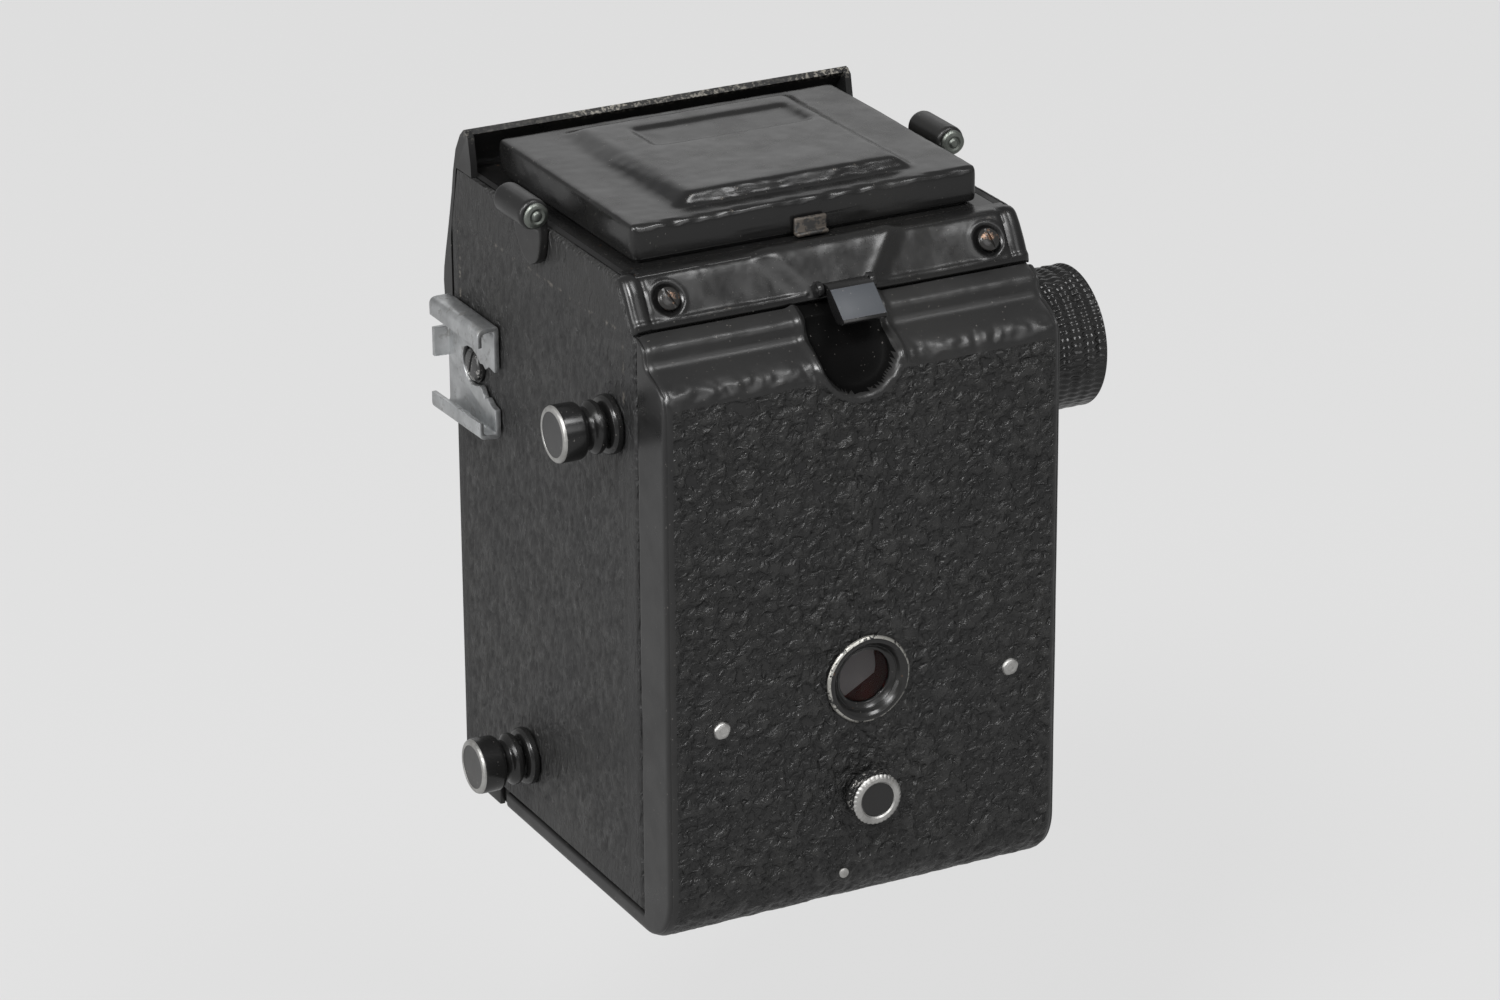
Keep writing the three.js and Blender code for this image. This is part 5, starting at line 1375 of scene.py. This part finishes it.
# ======================================================================
# latch
# ======================================================================
la = union([cyl("X", 1.0, -5.0, 3.2, 32.4, 114.0, 40, 0.1),
            prism("X", [(32.1, 114.95), (34.5, 115.0), (35.1, 114.7), (39.75, 110.75), (39.95, 110.2), (39.6, 109.75), (39.1, 109.85), (34.9, 113.25), (34.3, 113.5), (32.4, 113.2)], -5.0, 3.2)])
for x0 in (-5.1, 2.4):
    la = union([la, prism("X", [(33.6, 114.2), (34.5, 114.98), (35.1, 114.68), (39.75, 110.73), (39.35, 109.7), (37.6, 109.4), (35.6, 110.9), (34.2, 112.4)], x0, x0 + 0.9)])
bevel(la, 0.3, 3, 30)
la.data.update()
# faces turned up and back get the lighter blue-grey as a painted reflection
nrm = [p.normal.copy() for p in la.data.polygons]
mi = [1 if (n.y > 0.45 and n.z > 0.55 and abs(n.x) < 0.2) else 0 for n in nrm]
la.data.polygons.foreach_set("material_index", mi)
done(la, "door_latch_plate", "latch", [M_LATCH, M_LATCH_REFLECTION], ["door_latch"], 40)

# ======================================================================
# winding knob, spool, pull knobs
# ======================================================================
def diamond(th, t, rad):
    if rad < 12.2 or not (-52.0 < t < -41.7):
        return 0.0
    u, w = 30 * th, 2 * math.pi * (t + 52.0) / 2.45
    a = math.cos(u + w * 0.5) * math.cos(u - w * 0.5)
    n = mn.noise((math.cos(th) * 3, math.sin(th) * 3, t * 0.4))
    flat = sstep(-math.sin(th), 0.3, 0.8) * 0.75                # lower side worn smoother
    return -(0.30 - 0.30 * max(-1, min(1, a * 1.6)) * (0.85 + 0.5 * n)) * (1 - float(flat))
wp = [[0, -53.1], [6.0, -53.15], [6.6, -53.0], [10.6, -53.0], [11.4, -52.85], [12.1, -52.5]]
wp += [[12.75, t] for t in np.arange(-52.1, -41.55, 0.26)]
wp += [[12.4, -41.3], [11.4, -40.9], [10.9, -40.7], [0, -40.7]]
done(lathe("X", wp, 22.0, 92.5, 300, 0.04, mod=diamond), "winding_knob_knurled", "winding", M_KNOB, ["winding_knob"], 60)
done(bevel(cad_copy("winding_shaft"), 0.2, 2, 60), "winding_spindle", "winding", M_STEEL, ["winding_shaft"], 40)
done(bevel(cad_copy("take_up_spool"), 0.2, 2, 50), "film_spool", "winding", M_SHEET, ["take_up_spool"], 40)
for nm, node, body, a, b in (("upper", "pull_knob_upper", "pull_upper", 22.0, 92.5), ("lower", "pull_knob_lower", "pull_lower", -14.5, 15.4)):
    prf = [[0, 29.5, 0], [1.7, 29.5, 0], [2.2, 30.2, 0], [2.2, 40.9, 0], [3.4, 40.95, 0], [4.3, 41.2, 0], [4.75, 41.8, 0], [4.7, 42.6, 0], [4.1, 43.1, 0], [3.75, 43.4, 0], [3.7, 44.2, 0], [4.0, 44.6, 0], [4.85, 45.1, 0],
           [5.06, 45.6, 0], [5.06, 49.1, 1], [4.95, 49.5, 1], [4.7, 49.7, 1], [4.1, 49.8, 2], [3.9, 49.62, 2], [1.8, 49.58, 2], [0, 49.56, 2]]
    def worn_knob(th, t, rad):
        return 0.05 * mn.noise((math.cos(th) * 1.3, math.sin(th) * 1.3, t * 0.5)) if 40.9 < t < 49.0 and rad > 3 else 0.0
    done(lathe("X", prf, a, b, 96, 0.14, mod=worn_knob), "pull_knob_turned_" + nm, body, [M_KNOB, M_NICKEL, M_KNOBF], [node], 45)

# ======================================================================
# lid with its raised panel; catch; magnifier; folding walls
# ======================================================================
lid = [prism("Z", rrect(-33.5, 33.5, -32.6, 21.0, 1.4), 125.5, 126.65),
       prism("Z", rrect(-33.5, -32.3, -28.4, 20.6, 0.4), 120.1, 126.0), prism("Z", rrect(32.3, 33.5, -28.4, 20.6, 0.4), 120.1, 126.0),
       prism("Z", rrect(-33.0, 33.0, 19.8, 21.0, 0.4), 120.1, 126.0)]
for s in (1, -1):
    x0, x1 = sorted((s * 32.3, s * 33.5))
    lid.append(prism("X", [(-32.6, 123.8), (-32.4, 126.2), (-28.0, 126.2), (-28.0, 120.1), (-28.8, 120.3), (-31.4, 121.6)], x0, x1))


def frust(x0, x1, y0, y1, z0, X0, X1, Y0, Y1, z1, rise=0.0):
    lo = [(x, y, z0) for x, y in rrect(x0, x1, y0, y1, 1.2, 4)]
    hi = [(x, y, z1 + rise * (y + 27.3)) for x, y in rrect(X0, X1, Y0, Y1, 1.2, 4)]
    return loft([lo, hi])


boss = frust(-24.8, 24.2, -30.6, 16.5, 126.0, -20.6, 19.4, -27.3, 14.5, 127.9, 0.024)
boss = cut(boss, [frust(-18.0, 12.0, -22.4, -12.6, 127.35, -19.6, 13.4, -23.6, -11.2, 128.9)])
lid.append(boss)
# rolled near edge: the plate and the wall under it are chamfered together before they are rounded
for i in (0, 3):
    lid[i] = cut(lid[i], [prism("X", [(20.0, 126.85), (21.6, 126.85), (21.6, 125.25)], -34.5, 34.5)])
lid = join(lid)
lid = soften(lid, 0.3, 42, 0.55)
bm = bmesh.new()
bm.from_mesh(lid.data)
bm.normal_update()
for v in bm.verts:
    x, y, z = v.co
    k = 0.10 * mn.noise((x * 0.09, y * 0.09, z * 0.2 + 3)) + 0.035 * mn.noise((x * 0.42, y * 0.42, z * 0.5))
    # the near face of the raised panel and the near edges are lumpy and worn
    near_face = math.exp(-((y - 15.4) / 1.1) ** 2) * (z > 126.6) * (abs(x) < 22)
    k += 0.11 * near_face * mn.noise((x * 0.42, y * 0.4, z * 0.9))
    k += 0.20 * math.exp(-((y - 20.6) / 1.0) ** 2) * (z > 125.6) * mn.noise((x * 0.35, y, 5))
    if z > 121.5:
        v.co += v.normal * k
bm.to_mesh(lid.data)
bm.free()
done(lid, "lid_pressing", "lid", M_LID, ["hood_lid"], 60)
hb = union([cyl("X", 1.8, -29.3, 29.3, -29.6, 123.0, 56, 0.15), box(-29.3, 29.3, -31.2, -28.6, 123.3, 125.8)])
hb = cut(hb, [cyl("X", 1.0, -31, 31, -29.6, 123.0, 40, 0)])
me_ = []
for x0 in (-9.6, 8.4):
    e = prism("X", [(15.8, 125.9), (15.8, 124.0), (16.2, 123.1), (17.0, 122.8), (17.8, 123.1), (18.2, 124.0), (18.2, 125.9)], x0, x0 + 1.2)
    me_.append(bevel(e, 0.12, 2, 35))
done(join([bevel(hb, 0.12, 2, 40)] + me_), "lid_hinge_barrel", "lid", M_SHEET, (), 40)
copy_of("lid_catch", "lid_catch_tab", broken("catch_worn", (0.085, 0.072, 0.06), (0.02, 0.019, 0.018), 0.56, 420, 0.5, 0.35, 0.3), 0.35, "lid")
copy_of("magnifier_frame", "magnifier_holder", M_SHEET, 0.15, "magnifier")
copy_of("magnifier_glass", "magnifier_lens", M_GLASS, 0.1, "magnifier")
for nm in ("left", "right", "rear"):
    node = "hood_wall_" + nm
    if node in NODES:
        copy_of(node, "finder_wall_" + nm, M_SHEET, 0.1, NODES[node]["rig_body"])

left_over = [n for n in NODES if not any(n in (o.get("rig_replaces") or []) for o in PIECES)]

# ======================================================================
# floor, light, camera
# ======================================================================
FLOOR_Z = -0.080            # the loading door swings to about -0.067
SCN.view_settings.view_transform = "Standard"
SCN.view_settings.look = "None"


def stage_plane():
    """Level pale floor, evenly lit."""
    n = 8
    v = [(-7.0 + 14.0 * j / n, -7.0 + 14.0 * i / n, FLOOR_Z) for i in range(n + 1) for j in range(n + 1)]
    f = [(i * (n + 1) + j, i * (n + 1) + j + 1, (i + 1) * (n + 1) + j + 1, (i + 1) * (n + 1) + j) for i in range(n) for j in range(n)]
    me = bpy.data.meshes.new("floor")
    me.from_pydata(v, [], f)
    me.update()
    ob = bpy.data.objects.new("floor", me)
    SCN.collection.objects.link(ob)
    m = bpy.data.materials.new("floor_pale")
    m.use_nodes = True
    t = m.node_tree
    p = t.nodes["Principled BSDF"]
    p.inputs["Base Color"].default_value = (0.10, 0.10, 0.10, 1)
    p.inputs["Roughness"].default_value = 0.9
    p.inputs["Specular IOR Level"].default_value = 0.0
    p.inputs["Emission Color"].default_value = (1.0, 1.0, 1.0, 1)
    lp = t.nodes.new("ShaderNodeLightPath")
    mr = t.nodes.new("ShaderNodeMapRange")
    mr.inputs[3].default_value = 0.40
    mr.inputs[4].default_value = 0.652
    t.links.new(lp.outputs["Is Camera Ray"], mr.inputs[0])
    t.links.new(mr.outputs[0], p.inputs["Emission Strength"])
    me.materials.append(m)
    return ob


stage_plane()

w = bpy.data.worlds.new("studio")
SCN.world = w
w.use_nodes = True
# the far ground looks as pale as the floor and lights the object softly
_lp = w.node_tree.nodes.new("ShaderNodeLightPath")
_mr = w.node_tree.nodes.new("ShaderNodeMapRange")
_mr.inputs[3].default_value = 0.30
_mr.inputs[4].default_value = 0.735
w.node_tree.links.new(_lp.outputs["Is Camera Ray"], _mr.inputs[0])
w.node_tree.links.new(_mr.outputs[0], w.node_tree.nodes["Background"].inputs["Strength"])
w.node_tree.nodes["Background"].inputs[0].default_value = (1.0, 1.0, 1.0, 1)
w.node_tree.nodes["Background"].inputs[1].default_value = 0.30

AZ, EL, ROLL = math.radians(152.525), math.radians(22.326), math.radians(-0.352)
back = Vector((math.sin(AZ) * math.cos(EL), -math.cos(AZ) * math.cos(EL), math.sin(EL)))
fwd = -back
right = fwd.cross(Vector((0, 0, 1))).normalized()
up = right.cross(fwd)
right2 = math.cos(ROLL) * right + math.sin(ROLL) * up
up2 = -math.sin(ROLL) * right + math.cos(ROLL) * up
cam = bpy.data.cameras.new("camera")
cam.lens = 132.9
cam.sensor_width = 36.0
cam.clip_start, cam.clip_end = 0.05, 50
co = bpy.data.objects.new("camera", cam)
SCN.collection.objects.link(co)
R = Matrix((right2, up2, back)).transposed().to_4x4()
co.matrix_world = Matrix.Translation((0.42236, 0.81102, 0.43843)) @ R
SCN.camera = co


def area(name, at, to, w_, h_, power, col=(1, 1, 1)):
    L = bpy.data.lights.new(name, "AREA")
    L.shape = "RECTANGLE"
    L.size, L.size_y = w_, h_
    L.energy = power
    L.color = col
    o = bpy.data.objects.new(name, L)
    SCN.collection.objects.link(o)
    d = (Vector(to) - Vector(at)).normalized()
    q = d.to_track_quat("-Z", "Y")
    o.matrix_world = Matrix.Translation(at) @ q.to_matrix().to_4x4()
    return o


TGT = Vector((0.0, 0.0, 0.065))
area("key_top_left", (0.85, 0.70, 1.15), TGT, 0.42, 0.42, 17.5)
area("soft_back", (-0.30, 1.45, 0.95), TGT, 0.9, 0.7, 3.6)
area("over_back", (-0.36, 0.78, 1.40), TGT, 0.5, 0.4, 7.0)
area("side_left", (1.45, 0.05, 0.55), TGT, 0.5, 1.0, 11.0)
area("soft_far", (-0.75, -1.45, 0.78), TGT, 1.7, 0.9, 2.35)
